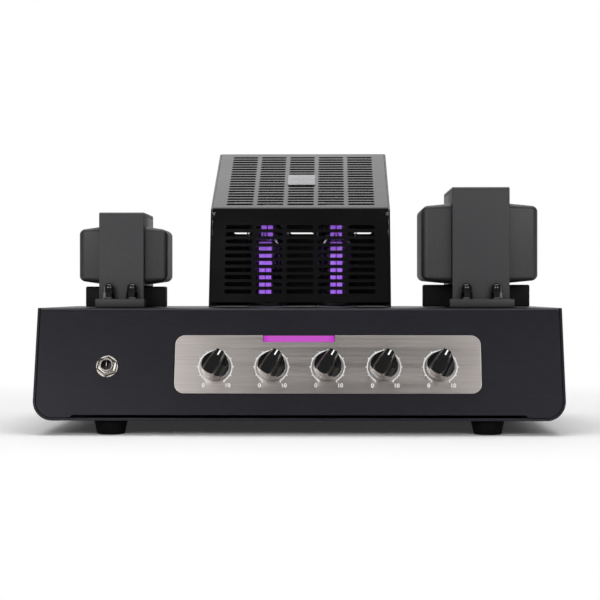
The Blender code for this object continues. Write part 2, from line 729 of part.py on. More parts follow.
def preamp_valve(name, x, glass, metal, ceramic, root):
    frame = valve_frame(name, x, PREAMP_Y, root)
    radius = PREAMP_RADIUS
    inner = radius - GLASS_WALL
    shoulder = 44.0
    envelope = [(radius, 1), (radius, shoulder), (radius - 0.7, shoulder + 4), (radius - 3.2, shoulder + 7.5),
                (2.2, shoulder + 10), (1.2, shoulder + 12.5), (0, shoulder + 13),
                (0, shoulder + 9), (radius - 4.2, shoulder + 6.5), (inner, shoulder), (inner, 1)]
    piece(name + "_glass", turned_shell(envelope, 14), glass, frame)
    low = 0.8
    mica = radius - 1.7
    stem = [(0, low), (inner - 0.4, low), (inner - 0.4, 3), (6, 4), (6, 8), (mica, 8), (mica, 8.8), (0, 8.8)]
    made = piece(name + "_electrodes", turned(stem, 12), metal, frame)
    for side in (-1, 1):
        edge = sorted((side * 0.5, side * 4.9))
        add(made, box((edge[0], -4, 8.4), (edge[1], 4, 43.2)))
    add(made, cylinder(mica, 42.8, 43.6, 12))
    flange = PREAMP_HOLE + 2.5
    socket(name, PREAMP_HOLE - 2.5, flange, ceramic, frame)


def power_valve(name, x, glass, metal, ceramic, root):
    frame = valve_frame(name, x, POWER_Y, root)
    radius = POWER_RADIUS
    inner = radius - GLASS_WALL
    low = POWER_BASE_HEIGHT + GAP
    shoulder = 72.0
    envelope = [(radius, low), (radius, shoulder), (radius - 1.2, shoulder + 6), (radius - 5, shoulder + 11.5),
                (radius - 10, shoulder + 14), (0, shoulder + 15),
                (0, shoulder + 14), (radius - 5.6, shoulder + 10.5), (inner, shoulder), (inner, low)]
    piece(name + "_glass", turned_shell(envelope, 14), glass, frame)
    mica = radius - 2.2
    base = POWER_BASE_HEIGHT
    stem = [(0, 0.8), (radius + 0.3, 0.8), (radius + 0.3, base), (10, base), (8, base + 7), (mica, base + 7),
            (mica, base + 7.8), (0, base + 7.8)]
    made = piece(name + "_electrodes", turned(stem, 14), metal, frame)
    add(made, box((-10, -6, base + 7.4), (10, 6, shoulder - 4)))
    add(made, cylinder(mica, shoulder - 4.4, shoulder - 3.6, 14))
    socket(name, POWER_HOLE - 2.5, POWER_HOLE + 3, ceramic, frame)


def turned_shell(profile, segments):
    """Turned shell whose outer and inner walls both close on the axis."""
    top = [i for i, point in enumerate(profile) if point[0] == 0]
    outer = profile[:top[0] + 1]
    inner = profile[top[1]:]
    return turned(inner + outer, segments)


def socket(name, radius, flange, finish, frame):
    under = -SHEET - GAP
    profile = [(0, -SOCKET_DEPTH), (radius - 1.5, -SOCKET_DEPTH), (radius - 1.5, under - 2.5),
               (flange, under - 2.5), (flange, under), (radius, under), (radius, 0.5), (0, 0.5)]
    piece(name + "_socket", turned(profile, 14), finish, frame)


# Inside and rear

def main_board(finish, root):
    face = TOP_Z - SOCKET_DEPTH - GAP
    made = piece("main_board", box((-150, 30, face - BOARD_SHEET), (150, 168, face)), finish, root)
    high = TOP_Z - SHEET - GAP
    posts = [cylinder(3, face - 0.5, high, 8, (x, y)) for x in (-140, 140) for y in (38, 160)]
    add(made, joined(posts))
    low = face - BOARD_SHEET
    cans = [cylinder(9, low - 26, low + 0.5, 12, (x, y)) for x, y in CAPACITORS]
    add(made, joined(cans))


def rear_place(x):
    return (x, 0, -REAR_DROP)


REAR_TURN = (-pi / 2, 0, 0)


def mains_inlet(finish, rear):
    width, height = INLET_BODY
    made = piece("mains_inlet", plate(rounded_outline(*INLET_FLANGE, 4), GAP, 3.3), finish, rear,
                 rear_place(INLET_X), REAR_TURN)
    add(made, box((-width / 2, -height / 2, -20), (width / 2, height / 2, 1)))
    cut(made, box((-width / 2 + 1.6, -height / 2 + 1.6, -15), (width / 2 - 1.6, height / 2 - 1.6, 6)))
    pins = [box((x - 1, y - 3, -16), (x + 1, y + 3, -5)) for x, y in ((-7, 2.5), (0, -2.5), (7, 2.5))]
    add(made, joined(pins))


def power_switch(finish, rear):
    width, height = SWITCH_BODY
    made = piece("power_switch", plate(rounded_outline(width + 3, height + 3, 1.5, 2), GAP, 2.1), finish, rear,
                 rear_place(SWITCH_X), REAR_TURN)
    add(made, box((-width / 2, -height / 2, -16), (width / 2, height / 2, 1)))
    cut(made, box((-ROCKER_HALF - 0.4, -8.6, -9), (ROCKER_HALF + 0.4, 8.6, 4)))
    pin = cylinder(1.6, -width, width, 10)
    turn = Matrix.Translation((0, 0, ROCKER_PIVOT)) @ Matrix.Rotation(pi / 2, 4, "Y")
    bmesh.ops.transform(pin, matrix=turn, verts=pin.verts)
    cut(made, pin)


def power_rocker(finish, rear):
    outline = [(-7.5, -2.2), (7.5, -2.2), (7.5, 3.8), (0, 2.2), (-7.5, 3.8)]
    bm = slab([(-ROCKER_HALF, y, z) for y, z in outline], (2 * ROCKER_HALF, 0, 0))
    x, y, z = rear_place(SWITCH_X)
    made = piece("power_rocker", bm, finish, rear, (x, y + ROCKER_PIVOT, z),
                 (-pi / 2 + ROCKER_TILT, 0, 0))
    pin = cylinder(1.2, -ROCKER_HALF - 1.3, ROCKER_HALF + 1.3, 10)
    bmesh.ops.transform(pin, matrix=Matrix.Rotation(pi / 2, 4, "Y"), verts=pin.verts)
    add(made, pin)


def line_output(finish, rear):
    made = piece("line_output", plate(rounded_outline(26, 31, 3), GAP, 2.3), finish, rear,
                 rear_place(LINE_OUT_X), REAR_TURN)
    add(made, cylinder(LINE_BODY_RADIUS, -18, 1, 24))
    cut(made, cylinder(LINE_BODY_RADIUS - 2.2, -13, 4, 24))
    spots = arc((0, 0), 4.2, pi / 2, pi / 2 + 4 / 3 * pi, 2)
    pins = [cylinder(1.2, -14, -4, 8, spot) for spot in spots]
    add(made, joined(pins))


def centre_over_origin(root):
    """Shifts the root so that the amplifier's box is centred over the origin."""
    bpy.context.view_layer.update()
    graph = bpy.context.evaluated_depsgraph_get()
    ys = []
    for obj in bpy.context.scene.objects:
        if obj.type != "MESH" or obj.hide_render:
            continue
        live = obj.evaluated_get(graph)
        ys += [(live.matrix_world @ v.co).y for v in live.data.vertices]
    root.location.y -= (min(ys) + max(ys)) / 2


def main():
    for obj in list(bpy.data.objects):
        bpy.data.objects.remove(obj)
    chassis_grey = material("chassis_grey", (0.020, 0.019, 0.025), 0.45)
    black_paint = material("black_paint", (0.012, 0.012, 0.013), 0.4)
    black_plastic = material("black_plastic", (0.008, 0.008, 0.008), 0.25)
    rubber = material("rubber", (0.01, 0.01, 0.01), 0.85)
    brushed = material("brushed_metal", (0.45, 0.42, 0.38), 0.35, 1.0)
    nickel = material("nickel", (0.62, 0.60, 0.56), 0.25, 1.0)
    steel = material("core_steel", (0.05, 0.05, 0.055), 0.5, 0.6)
    copper = material("coil_wrap", (0.35, 0.22, 0.10), 0.6)
    violet = material("violet_lens", (0.75, 0.12, 0.75), 0.3)
    glass = material("glass", (0.75, 0.72, 0.80), 0.05)
    ceramic = material("socket", (0.60, 0.58, 0.55), 0.5)
    board = material("board", (0.05, 0.12, 0.06), 0.6)

    root = empty("amplifier", (0, 0, 0))
    panel = empty("front_panel_frame", (0, 0, TOP_Z), (-TILT, 0, 0), root)
    rear = empty("rear_panel_frame", (0, TOP_DEPTH, TOP_Z), parent=root)
    cage = empty("cage_frame", (0, 0, TOP_Z), parent=root)

    bottom_tray(chassis_grey, root)
    chassis_shell(chassis_grey, root)
    rear_panel(chassis_grey, root)
    feet(rubber, root)
    control_plate(brushed, panel)
    status_lens(violet, panel)
    control_board(board, panel)
    for index in range(KNOB_COUNT):
        potentiometer(index, nickel, panel)
        knob(index, black_plastic, nickel, panel)
    jack("input_jack", nickel, panel, (JACK_X, 0, -along_panel(JACK_DROP)), (pi / 2, 0, 0), WASHER_RADIUS)
    main_board(board, root)
    for spec in (OUTPUT, MAINS):
        transformer(spec, black_paint, steel, copper, root)
    cage_front(black_paint, cage)
    cage_top(black_paint, cage)
    cage_body(black_paint, cage)
    for number, side in ((1, -1), (2, 1)):
        preamp_valve(f"preamp_valve_{number}", side * VALVE_X, glass, nickel, ceramic, root)
        power_valve(f"power_valve_{number}", side * VALVE_X, glass, steel, ceramic, root)
    mains_inlet(black_plastic, rear)
    power_switch(black_plastic, rear)
    power_rocker(black_plastic, rear)
    for number, x in enumerate(SPEAKER_JACK_X, 1):
        jack(f"speaker_jack_{number}", black_plastic, rear, rear_place(x), REAR_TURN, WASHER_RADIUS)
    line_output(black_plastic, rear)
    centre_over_origin(root)


main()
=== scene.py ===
"""Finish and fine surfaces of a compact valve amplifier head, laid out as an add-on and run as a script."""
import json
from math import cos, pi, radians, sin, tan

import bmesh
import bpy
import numpy as np
from bpy.props import FloatProperty, FloatVectorProperty, PointerProperty
from mathutils import Matrix, Vector


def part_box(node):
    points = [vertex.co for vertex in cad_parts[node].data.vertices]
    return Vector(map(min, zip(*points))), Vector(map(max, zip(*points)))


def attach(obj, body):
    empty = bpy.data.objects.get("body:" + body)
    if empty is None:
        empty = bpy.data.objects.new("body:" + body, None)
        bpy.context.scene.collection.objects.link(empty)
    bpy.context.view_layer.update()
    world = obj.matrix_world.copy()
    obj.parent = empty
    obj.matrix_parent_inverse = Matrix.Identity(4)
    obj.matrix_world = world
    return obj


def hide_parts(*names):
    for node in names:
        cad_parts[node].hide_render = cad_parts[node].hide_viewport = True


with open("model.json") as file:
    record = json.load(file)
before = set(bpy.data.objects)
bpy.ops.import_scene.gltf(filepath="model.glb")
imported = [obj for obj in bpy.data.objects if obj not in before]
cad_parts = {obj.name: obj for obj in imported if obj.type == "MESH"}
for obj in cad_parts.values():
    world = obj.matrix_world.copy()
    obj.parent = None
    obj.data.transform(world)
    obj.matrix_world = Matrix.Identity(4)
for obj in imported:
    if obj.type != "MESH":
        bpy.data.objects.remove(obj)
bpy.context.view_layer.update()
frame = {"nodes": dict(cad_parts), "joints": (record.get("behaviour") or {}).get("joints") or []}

bl_info = {
    "name": "Valve amplifier finish",
    "version": (1, 0, 0),
    "blender": (4, 5, 0),
    "location": "View3D > Sidebar > Amplifier",
    "description": "Builds the fine surfaces, finishes and studio of a small valve amplifier",
    "category": "Object",
}

MM = 0.001
BODY = "amplifier_body"
KNOB_JOINTS = [joint for joint in frame["joints"] if joint["name"].startswith("knob_")]
ROCKER_JOINT = next(joint for joint in frame["joints"] if joint["name"] == "power_rocker_tilt")

# Places taken from the frame
TRAY_LOW, TRAY_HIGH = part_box("bottom_tray")
PANEL_OUT = -Vector(KNOB_JOINTS[0]["axis"])
PANEL_TILT = np.arctan2(PANEL_OUT.z, -PANEL_OUT.y)
TOP_Z = TRAY_HIGH.z
KNOB_POINT = Vector(KNOB_JOINTS[0]["pos_m"])
EDGE_Y = KNOB_POINT.y + (TOP_Z - KNOB_POINT.z) * tan(PANEL_TILT)
REAR_Y = TRAY_HIGH.y
REAR_Z = ROCKER_JOINT["pos_m"][2]

# Sheet sizes, in metres
CHASSIS_SHEET = 1.6 * MM
TRAY_SHEET = 1.8 * MM
TRAY_CORNER = 14 * MM
TRAY_SEAM = 0.4 * MM
SKIRT_NOTCH_HALF = 158 * MM
SKIRT_NOTCH_HEIGHT = 1.8 * MM
CAGE_SHEET = 1.2 * MM
GAP = 0.3 * MM

# Front controls: distances down the panel from its top edge and out of its face, in metres
DOWN = MM / cos(PANEL_TILT)
PLATE_X = 20.3 * MM
PLATE_WIDTH = 215 * MM
PLATE_TOP = 19.6 * DOWN
PLATE_BASE = 59.9 * DOWN
PLATE_CORNER = 7 * MM
PLATE_BACK = GAP
PLATE_FACE = 1.5 * MM
LENS_WIDTH = 50 * MM
LENS_TOP = 19.9 * DOWN
LENS_BASE = 24.1 * DOWN
LENS_FACE = 1.7 * MM
LENS_BACK = -2.5 * MM
KNOB_DOWN = (TOP_Z - KNOB_POINT.z) / cos(PANEL_TILT)
KNOB_BASE = 2.0 * MM
KNOB_HEIGHT = 15.3 * MM
KNOB_RADIUS = 10.2 * MM
KNOB_TOP_RADIUS = 9.4 * MM
KNOB_BAR_TAPER = radians(3.5)
KNOB_REST = radians(30)
NUMERAL_WEIGHT = 0.08 * MM
BUSHING_HOLE = 4.9 * MM
JACK_X = -134.8 * MM
JACK_DOWN = 41.2 * DOWN
JACK_HOLE = 5.15 * MM
JACK_FACE = 5.6 * MM
JACK_NUT_TOP = 3.8 * MM
JACK_NUT_FLATS = 13 * MM

# Valve places behind the front edge, and rear fittings
VALVE_X = 26.5 * MM
PREAMP_Y = 62 * MM
POWER_Y = 108 * MM
GLASS_WALL = 0.9 * MM
VALVE_HOLES = [(side * VALVE_X, y, radius) for y, radius in ((PREAMP_Y, 13.5 * MM), (POWER_Y, 17 * MM))
               for side in (-1, 1)]
INLET_X = 140 * MM
INLET_BODY = (27.2 * MM, 19.6 * MM)
SWITCH_X = 96 * MM
SWITCH_BODY = (13 * MM, 19 * MM)
LINE_X = -120 * MM
LINE_RADIUS = 11.5 * MM
SPEAKER_X = (-62 * MM, -32 * MM)

# Transformers and cage: heights above the chassis top, depths behind its front edge
OUTPUT = dict(name="output", x=-129.5 * MM, front=25 * MM, depth=67 * MM, height=69.2 * MM, stack=32.4 * MM,
              bell=15.8 * MM, bell_low=17.3 * MM, bell_high=59.2 * MM, nuts=16.5 * MM,
              flange_extra=1.5 * MM, shroud=59 * MM, shroud_height=15.5 * MM)
MAINS = dict(name="mains", x=131 * MM, front=25 * MM, depth=94 * MM, height=87.4 * MM, stack=41.3 * MM,
             bell=21.4 * MM, bell_low=18 * MM, bell_high=76 * MM, nuts=21.3 * MM,
             flange_extra=2.5 * MM, shroud=79 * MM, shroud_height=16.9 * MM)
STRAP_SHEET = 2 * MM
STRAP_BEND = 2.6 * MM
FLANGE_LENGTH = 10 * MM
FLANGE_HEIGHT = 6 * MM
BELL_BORDER = 8 * MM
BELL_TAPER = 1.6 * MM
SHROUD_DEPTH = 17 * MM
CAGE_HALF = 66 * MM
SCREEN_HALF = CAGE_HALF - CAGE_SHEET - GAP
CAGE_FRONT_Y = 23 * MM
CAGE_SKIRT_GAP = 4 * MM
CAGE_BEND_HEIGHT = 73.3 * MM
CAGE_BEND = 3 * MM
CAGE_BACK_Y = 155.8 * MM
CAGE_BACK_HEIGHT = 122.5 * MM
CAGE_BACK_BEND = 1.5 * MM
CAGE_LIP = 5 * MM
CAGE_SIDE_HEIGHT = 121.5 * MM
CAGE_RELIEF = 2 * MM
BEND_STEPS = 10
CAGE_RELIEF_SPAN = (71 * MM, 74 * MM)
SLOT_COLUMNS = 5
SLOT_CHAMFER = 0.05 * MM
SLOT_PITCH_ACROSS = 22.5 * MM
FRONT_ROWS = 10
FRONT_FIRST = 12.3 * MM
FRONT_PITCH = 5.54 * MM
SLOPE_ROWS = 20
SLOPE_FIRST = 7.5 * MM
SLOPE_PITCH = 5.34 * MM
BADGE_START = 47 * MM
BADGE_END = 68.5 * MM
BACK_ROWS = 7
BACK_FIRST = 60 * MM
BACK_PITCH = 8 * MM

# Studio, in metres: each softbox has its place, the point it faces, its width and its height
SOFTBOXES = {
    "key": ((0.0, 0.1, 1.35), (0, 0, 0.1), 1.5, 0.9),
    "left": ((-0.47, -0.95, 0.45), (0, 0, 0.1), 0.62, 0.42),
    "right": ((0.52, -0.95, 0.45), (0, 0, 0.1), 0.56, 0.42),
    "back": ((0.0, 1.2, 1.35), (0, 0, 0.15), 1.3, 0.8),
}
AIR_STRENGTH = 0.12
FLOOR_HALF = 7.0
FLOOR_FRONT = -4.0
FLOOR_BACK = 1.6
FLOOR_DROP = 0.3 * MM
BACKDROP_HEIGHT = 2.2
BACKDROP_BEND = 0.5
CAMERA_PLACE = (0.0226, -1.2979, 0.0982)
CAMERA_TURN = (radians(90 - 0.2), 0, radians(1.04))
CAMERA_LENS = 102.6
CAMERA_SENSOR = 36.0

# Depth of the relief in every finish, and the finishes made so far by name
RELIEF_DEPTH = 0.05 * MM
FINISHES = {}


def length_property(name, description, default):
    """Length for the sidebar, in metres."""
    return FloatProperty(name=name, description=description, default=default, unit="LENGTH")


def power_property(name, description, default):
    """Light power for the sidebar, in watts."""
    return FloatProperty(name=name, description=description, default=default, unit="POWER")


def colour_property(name, description, default):
    """Colour for the sidebar, in linear values."""
    return FloatVectorProperty(name=name, description=description, default=default, subtype="COLOR",
                               min=0.0, max=1.0)


class AmplifierSizes(bpy.types.PropertyGroup):
    """Sizes of the fine surfaces."""
    chassis_bend: length_property("Chassis bend", "Outer radius of the chassis bends", 4 * MM)
    plate_edge: length_property("Plate edge", "Rounding of the control plate's edge", 0.25 * MM)
    knob_bar: length_property("Knob bar", "Half the width of a knob's grip bar", 3.5 * MM)
    knob_scoop: length_property("Knob scoop", "Radius of the finger scoops", 12 * MM)
    dial_radius: length_property("Dial radius", "Middle radius of the printed dial ring", 11.7 * MM)
    slot_length: length_property("Slot length", "Length of a cage slot", 19.9 * MM)
    slot_height: length_property("Slot height", "Height of a cage slot", 3.2 * MM)
    badge: length_property("Badge", "Side of the bare badge on the cage", 21 * MM)
    bell_round: length_property("Bell rounding", "Edge radius of the transformer bells", 5 * MM)


class AmplifierColours(bpy.types.PropertyGroup):
    """Colours of the finishes."""
    chassis: colour_property("Chassis", "Powder coat of the chassis", (0.0078, 0.0072, 0.0120))
    cage: colour_property("Cage", "Paint of the valve cage", (0.0030, 0.0026, 0.0030))
    iron: colour_property("Iron", "Paint of the transformers", (0.0125, 0.0117, 0.0142))
    plate: colour_property("Plate", "Brushed control plate", (0.46, 0.425, 0.405))
    nickel: colour_property("Nickel", "Plated socket and nut", (0.27, 0.25, 0.23))
    knob: colour_property("Knob", "Gloss plastic of the knobs", (0.003, 0.003, 0.003))
    print_white: colour_property("Print", "Printed dial marks", (0.94, 0.95, 0.97))
    light_bar: colour_property("Light bar", "Edge colour of the status light", (0.62, 0.02, 0.66))
    light_centre: colour_property("Light centre", "Paler middle of the status light", (0.66, 0.10, 0.66))
    # Painted light: colour of the violet lamp light on the valve anodes, which is painted on as emission.
    glow: colour_property("Valve glow", "Light of the lit valves", (0.45, 0.15, 1.0))


class StageSettings(bpy.types.PropertyGroup):
    """Light levels and floor of the studio."""
    floor: colour_property("Floor", "Colour of floor and backdrop", (0.93, 0.93, 0.93))
    key: power_property("Key light", "Power of the overhead softbox", 14.0)
    left: power_property("Left light", "Power of the left softbox", 4.0)
    right: power_property("Right light", "Power of the right softbox", 3.5)
    back: power_property("Back light", "Power of the high back softbox", 4.2)


# Meshes from whole arrays: a shape is a pair of points and groups of faces with equal corner counts

def grid_faces(rows, columns, around=False, wrap=False):
    """Quads between neighbours of a grid; around closes each row, wrap joins the last row to the first."""
    index = np.arange(rows * columns).reshape(rows, columns)
    if around:
        index = np.concatenate([index, index[:, :1]], axis=1)
    if wrap:
        index = np.concatenate([index, index[:1]], axis=0)
    quads = np.stack([index[:-1, :-1], index[:-1, 1:], index[1:, 1:], index[1:, :-1]], axis=-1)
    return quads.reshape(-1, 4)


def skin(rings, caps="flat", wrap=False):
    """Closed rings of points joined in order; ends close flat, in strips across a folded ring, or not."""
    rows, count, _ = rings.shape
    groups = [grid_faces(rows, count, around=True, wrap=wrap)]
    index = np.arange(rows * count).reshape(rows, count)[[0, -1]]
    if caps == "flat":
        groups.append(index)
    if caps == "strip":
        near = np.arange(count // 2 - 1)
        far = count - 1 - near
        strip = np.stack([near, near + 1, far - 1, far], axis=-1)
        groups.append(index[:, strip].reshape(-1, 4))
    return rings.reshape(-1, 3), groups


def together(*shapes):
    """Several shapes as one, with the face numbers shifted past the points before them."""
    starts = np.cumsum([0] + [len(points) for points, _ in shapes])
    groups = [faces + start for (_, part), start in zip(shapes, starts) for faces in part]
    return np.concatenate([points for points, _ in shapes]), groups


def placed(shape, matrix):
    """Every point turned and moved by a matrix."""
    points, groups = shape
    turn = np.array(matrix.to_3x3())
    return points @ turn.T + np.array(matrix.to_translation()), groups


def arc(centre, radius, start, end, steps):
    """Points on a circle from one angle to another."""
    angles = np.linspace(start, end, steps + 1)
    return np.array(centre) + radius * np.stack([np.cos(angles), np.sin(angles)], axis=-1)


def rounded_rectangle(width, height, radius, steps=6):
    """Outline as a function of inset: four quarter circles round a shrinking rectangle."""
    def outline(inset):
        small = max(radius - inset, 0.02 * MM)
        half = np.array([width / 2 - inset - small, height / 2 - inset - small])
        corners = [(1, 1), (-1, 1), (-1, -1), (1, -1)]
        return np.concatenate([arc(half * corner, small, quarter * pi / 2, (quarter + 1) * pi / 2, steps)
                               for quarter, corner in enumerate(corners)])
    return outline


def circle(radius, segments):
    """Outline of a circle that shrinks with its inset."""
    def outline(inset):
        return arc((0, 0), radius - inset, 0, 2 * pi, segments)[:-1]
    return outline


def hexagon(flats, rounding, steps):
    """Points of a hexagon with slightly rounded corners."""
    reach = (flats / 2 - rounding) / cos(pi / 6)
    spokes = np.arange(6) * pi / 3
    return np.concatenate([arc((reach * cos(a), reach * sin(a)), rounding, a - pi / 6, a + pi / 6, steps)
                           for a in spokes])


def soft_edges(low, high, bevel, steps=4, margin=0.4 * MM):
    """Profile of (inset, height) pairs with quarter-round edges and a flat margin inside each face."""
    angles = np.linspace(0, pi / 2, steps + 1)
    base = np.stack([bevel * (1 - np.sin(angles)), low + bevel * (1 - np.cos(angles))], axis=-1)
    crown = np.stack([base[::-1, 0], high - (base[::-1, 1] - low)], axis=-1)
    return np.concatenate([[(bevel + margin, low)], base, crown, [(bevel + margin, high)]])


def block(outline, profile):
    """Outline repeated along a profile of (inset, height) pairs."""
    rings = []
    for inset, height in profile:
        flat = outline(inset)
        rings.append(np.column_stack([flat, np.full(len(flat), height)]))
    return skin(np.stack(rings))


def prism(outline, low, high):
    """Outline drawn out between two heights with sharp edges."""
    return block(outline, [(0, low), (0, high)])


def hole(radius, low, high, segments=48):
    """Round cutter or plain cylinder."""
    return prism(circle(radius, segments), low, high)


def turned(profile, segments=64, closed=False):
    """Profile of (radius, height) points turned about Z; closed joins its last point to its first."""
    profile = np.array(profile)
    spokes = arc((0, 0), 1, 0, 2 * pi, segments)[:-1]
    rings = np.empty((len(profile), segments, 3))
    rings[:, :, :2] = profile[:, None, :1] * spokes[None]
    rings[:, :, 2] = profile[:, 1:]
    return skin(rings, caps="none", wrap=closed)


def box(low, high, bevel, steps=3):
    """Block between two corners with round edges."""
    low = np.array(low)
    high = np.array(high)
    size = high - low
    outline = rounded_rectangle(size[0], size[1], bevel, steps)
    points, groups = block(outline, soft_edges(low[2], high[2], bevel, steps, min(0.3 * MM, bevel)))
    points[:, :2] += (low[:2] + high[:2]) / 2
    return points, groups


def bent_path(corners, radii, steps=12):
    """Dense path through corners with round bends, and its running length.

    Each corner is cut back by radius over the tangent of half its angle and joined by an arc. A point just
    before and after each arc keeps the straight runs straight when normals are interpolated.
    """
    corners = np.array(corners, float)
    close = 0.01 * MM
    points = [corners[:1]]
    for before, corner, after, radius in zip(corners, corners[1:], corners[2:], radii):
        back = (before - corner) / np.linalg.norm(before - corner)
        ahead = (after - corner) / np.linalg.norm(after - corner)
        half = np.arccos(np.clip(back @ ahead, -1, 1)) / 2
        middle = (back + ahead) / np.linalg.norm(back + ahead)
        centre = corner + middle * radius / sin(half)
        start = corner + back * radius / tan(half) - centre
        side = np.sign(back[1] * ahead[0] - back[0] * ahead[1])
        angle = np.arctan2(start[1], start[0])
        bend = arc(centre, radius, angle, angle + side * (pi - 2 * half), steps)
        points += [bend[:1] + back * close, bend, bend[-1:] + ahead * close]
    points.append(corners[-1:])
    points = np.concatenate(points)
    steps_along = np.linalg.norm(np.diff(points, axis=0), axis=1)
    length = np.concatenate([[0], np.cumsum(steps_along)])
    return points, length


def path_frame(points, length, stations):
    """Point and left-hand normal of a dense path at given lengths, both by linear interpolation."""
    slopes = np.diff(points, axis=0) / np.diff(length)[:, None]
    middles = (length[1:] + length[:-1]) / 2
    at = np.stack([np.interp(stations, length, points[:, k]) for k in range(2)], axis=-1)
    along = np.stack([np.interp(stations, middles, slopes[:, k]) for k in range(2)], axis=-1)
    along /= np.linalg.norm(along, axis=-1, keepdims=True)
    normal = np.stack([-along[..., 1], along[..., 0]], axis=-1)
    return at, normal


def sheet_section(points, length, stations, near, far):
    """Section of a sheet on a path: a line at depth near, followed by one at depth far run backwards."""
    at, normal = path_frame(points, length, stations)
    return np.concatenate([at - normal * near, (at - normal * far)[::-1]])


def pierced_sheet(across, along, sheet, mapping, slots, outline, missing):
    """Sheet over a grid of lines, with a slot in each chosen cell and some cells left out.

    A plain cell is one face on each side. A slotted cell is four faces round the slot's outline on each
    side, joined by a chamfer and a wall. Free edges get a rim. mapping takes across, along and depth
    below the outer face to a point.
    """
    columns = len(across)
    rows = len(along)
    present = np.ones((columns - 1, rows - 1), bool)
    for i, j in missing:
        present[i, j] = False
    cells = np.array(slots)
    plain = present.copy()
    plain[tuple(cells.T)] = False
    lines = np.stack(np.meshgrid(across, along, indexing="ij"), axis=-1).reshape(-1, 2)
    flat = np.column_stack([np.tile(lines, (2, 1)), np.repeat([0.0, sheet], len(lines))])
    number = np.arange(2 * columns * rows).reshape(2, columns, rows)
    corners = np.stack([number[:, :-1, :-1], number[:, 1:, :-1],
                        number[:, 1:, 1:], number[:, :-1, 1:]], axis=-1)
    groups = [corners[0][plain], corners[1][plain][:, ::-1]]
    framed = np.pad(present, 1)
    for (i, j), edge in (((0, -1), (0, 1)), ((1, 0), (1, 2)), ((0, 1), (2, 3)), ((-1, 0), (3, 0))):
        beside = framed[1 + i:columns + i, 1 + j:rows + j]
        free = present & ~beside
        near = corners[0][free][:, edge]
        far = corners[1][free][:, edge]
        groups.append(np.column_stack([near[:, 0], far[:, 0], far[:, 1], near[:, 1]]))
    centre = np.column_stack([(across[cells[:, 0]] + across[cells[:, 0] + 1]) / 2,
                              (along[cells[:, 1]] + along[cells[:, 1] + 1]) / 2])
    levels = [(outline(-SLOT_CHAMFER), 0.0), (outline(0), SLOT_CHAMFER), (outline(0), sheet)]
    count = len(outline(0))
    rings = [np.dstack([centre[:, None] + points, np.full((len(cells), count), level)])
             for points, level in levels]
    total = len(cells) * len(levels) * count
    ring = len(flat) + np.arange(total).reshape(len(cells), len(levels), count)
    flat = np.concatenate([flat, np.stack(rings, axis=1).reshape(-1, 3)])
    after = np.roll(ring, -1, axis=2)
    for upper, lower in ((0, 1), (1, 2)):
        wall = np.stack([ring[:, upper], after[:, upper], after[:, lower], ring[:, lower]], axis=-1)
        groups.append(wall.reshape(-1, 4))
    half = count // 2
    for face, level in ((0, 0), (1, 2)):
        cell = corners[face][cells[:, 0], cells[:, 1]]
        rim = ring[:, level]
        groups += [np.column_stack([cell[:, [0, 1]], rim[:, [0, -1]]]),
                   np.column_stack([cell[:, [1, 2]], rim[:, half - 1::-1]]),
                   np.column_stack([cell[:, [2, 3]], rim[:, [half, half - 1]]]),
                   np.column_stack([cell[:, [3, 0]], rim[:, :half - 1:-1]])]
    return mapping(*flat.T), groups


def slot_outline(length, height, steps=6):
    """Outline of a round-ended slot that widens with a negative inset: right end, then left end."""
    def outline(inset):
        radius = height / 2 - inset
        reach = (length - height) / 2
        return np.concatenate([arc((reach, 0), radius, -pi / 2, pi / 2, steps),
                               arc((-reach, 0), radius, pi / 2, 1.5 * pi, steps)])
    return outline


def make_mesh(name, shape):
    """Mesh with shared points merged and faces turned outwards."""
    points, groups = shape
    groups = [faces for faces in groups if len(faces)]
    totals = np.concatenate([np.full(len(faces), faces.shape[1]) for faces in groups])
    corners = np.concatenate([faces.ravel() for faces in groups])
    mesh = bpy.data.meshes.new(name)
    mesh.vertices.add(len(points))
    mesh.vertices.foreach_set("co", points.astype(np.float32).ravel())
    mesh.loops.add(len(corners))
    mesh.loops.foreach_set("vertex_index", corners.astype(np.int32))
    mesh.polygons.add(len(totals))
    mesh.polygons.foreach_set("loop_start", np.concatenate([[0], np.cumsum(totals)[:-1]]).astype(np.int32))
    mesh.update(calc_edges=True)
    bm = bmesh.new()
    bm.from_mesh(mesh)
    bmesh.ops.remove_doubles(bm, verts=bm.verts, dist=0.002 * MM)
    bmesh.ops.recalc_face_normals(bm, faces=bm.faces)
    bm.to_mesh(mesh)
    bm.free()
    return mesh


def smooth(made, sharp):
    """Smooth shading that keeps edges beyond an angle sharp."""
    made.data.shade_smooth()
    made.data.set_sharp_from_angle(angle=radians(sharp))


def add_piece(name, shape, finish, stands_for=(), body=BODY, sharp=32):
    """Object of a shape at the origin, smooth up to an angle, that rides on a body and replaces nodes."""
    mesh = make_mesh(name, shape)
    mesh.materials.append(finish)
    made = bpy.data.objects.new(name, mesh)
    bpy.context.scene.collection.objects.link(made)
    smooth(made, sharp)
    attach(made, body)
    if stands_for:
        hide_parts(*stands_for)
    return made


def combine(made, shape, operation, sharp=32):
    """Cuts a shape out of a piece, or joins it, and keeps the result as the piece's own mesh."""
    tool = bpy.data.objects.new("tool", make_mesh("tool", shape))
    bpy.context.scene.collection.objects.link(tool)
    modifier = made.modifiers.new("Combine", "BOOLEAN")
    modifier.operation = operation
    modifier.object = tool
    graph = bpy.context.evaluated_depsgraph_get()
    result = bpy.data.meshes.new_from_object(made.evaluated_get(graph))
    made.modifiers.remove(modifier)
    old = made.data
    made.data = result
    bpy.data.meshes.remove(old)
    bpy.data.objects.remove(tool)
    made.data.name = made.name
    smooth(made, sharp)


def carve(made, shape):
    """Cuts a shape out of a piece."""
    combine(made, shape, "DIFFERENCE")


def join(made, shape):
    """Joins a shape to a piece."""
    combine(made, shape, "UNION")


# Frames in which pieces are made

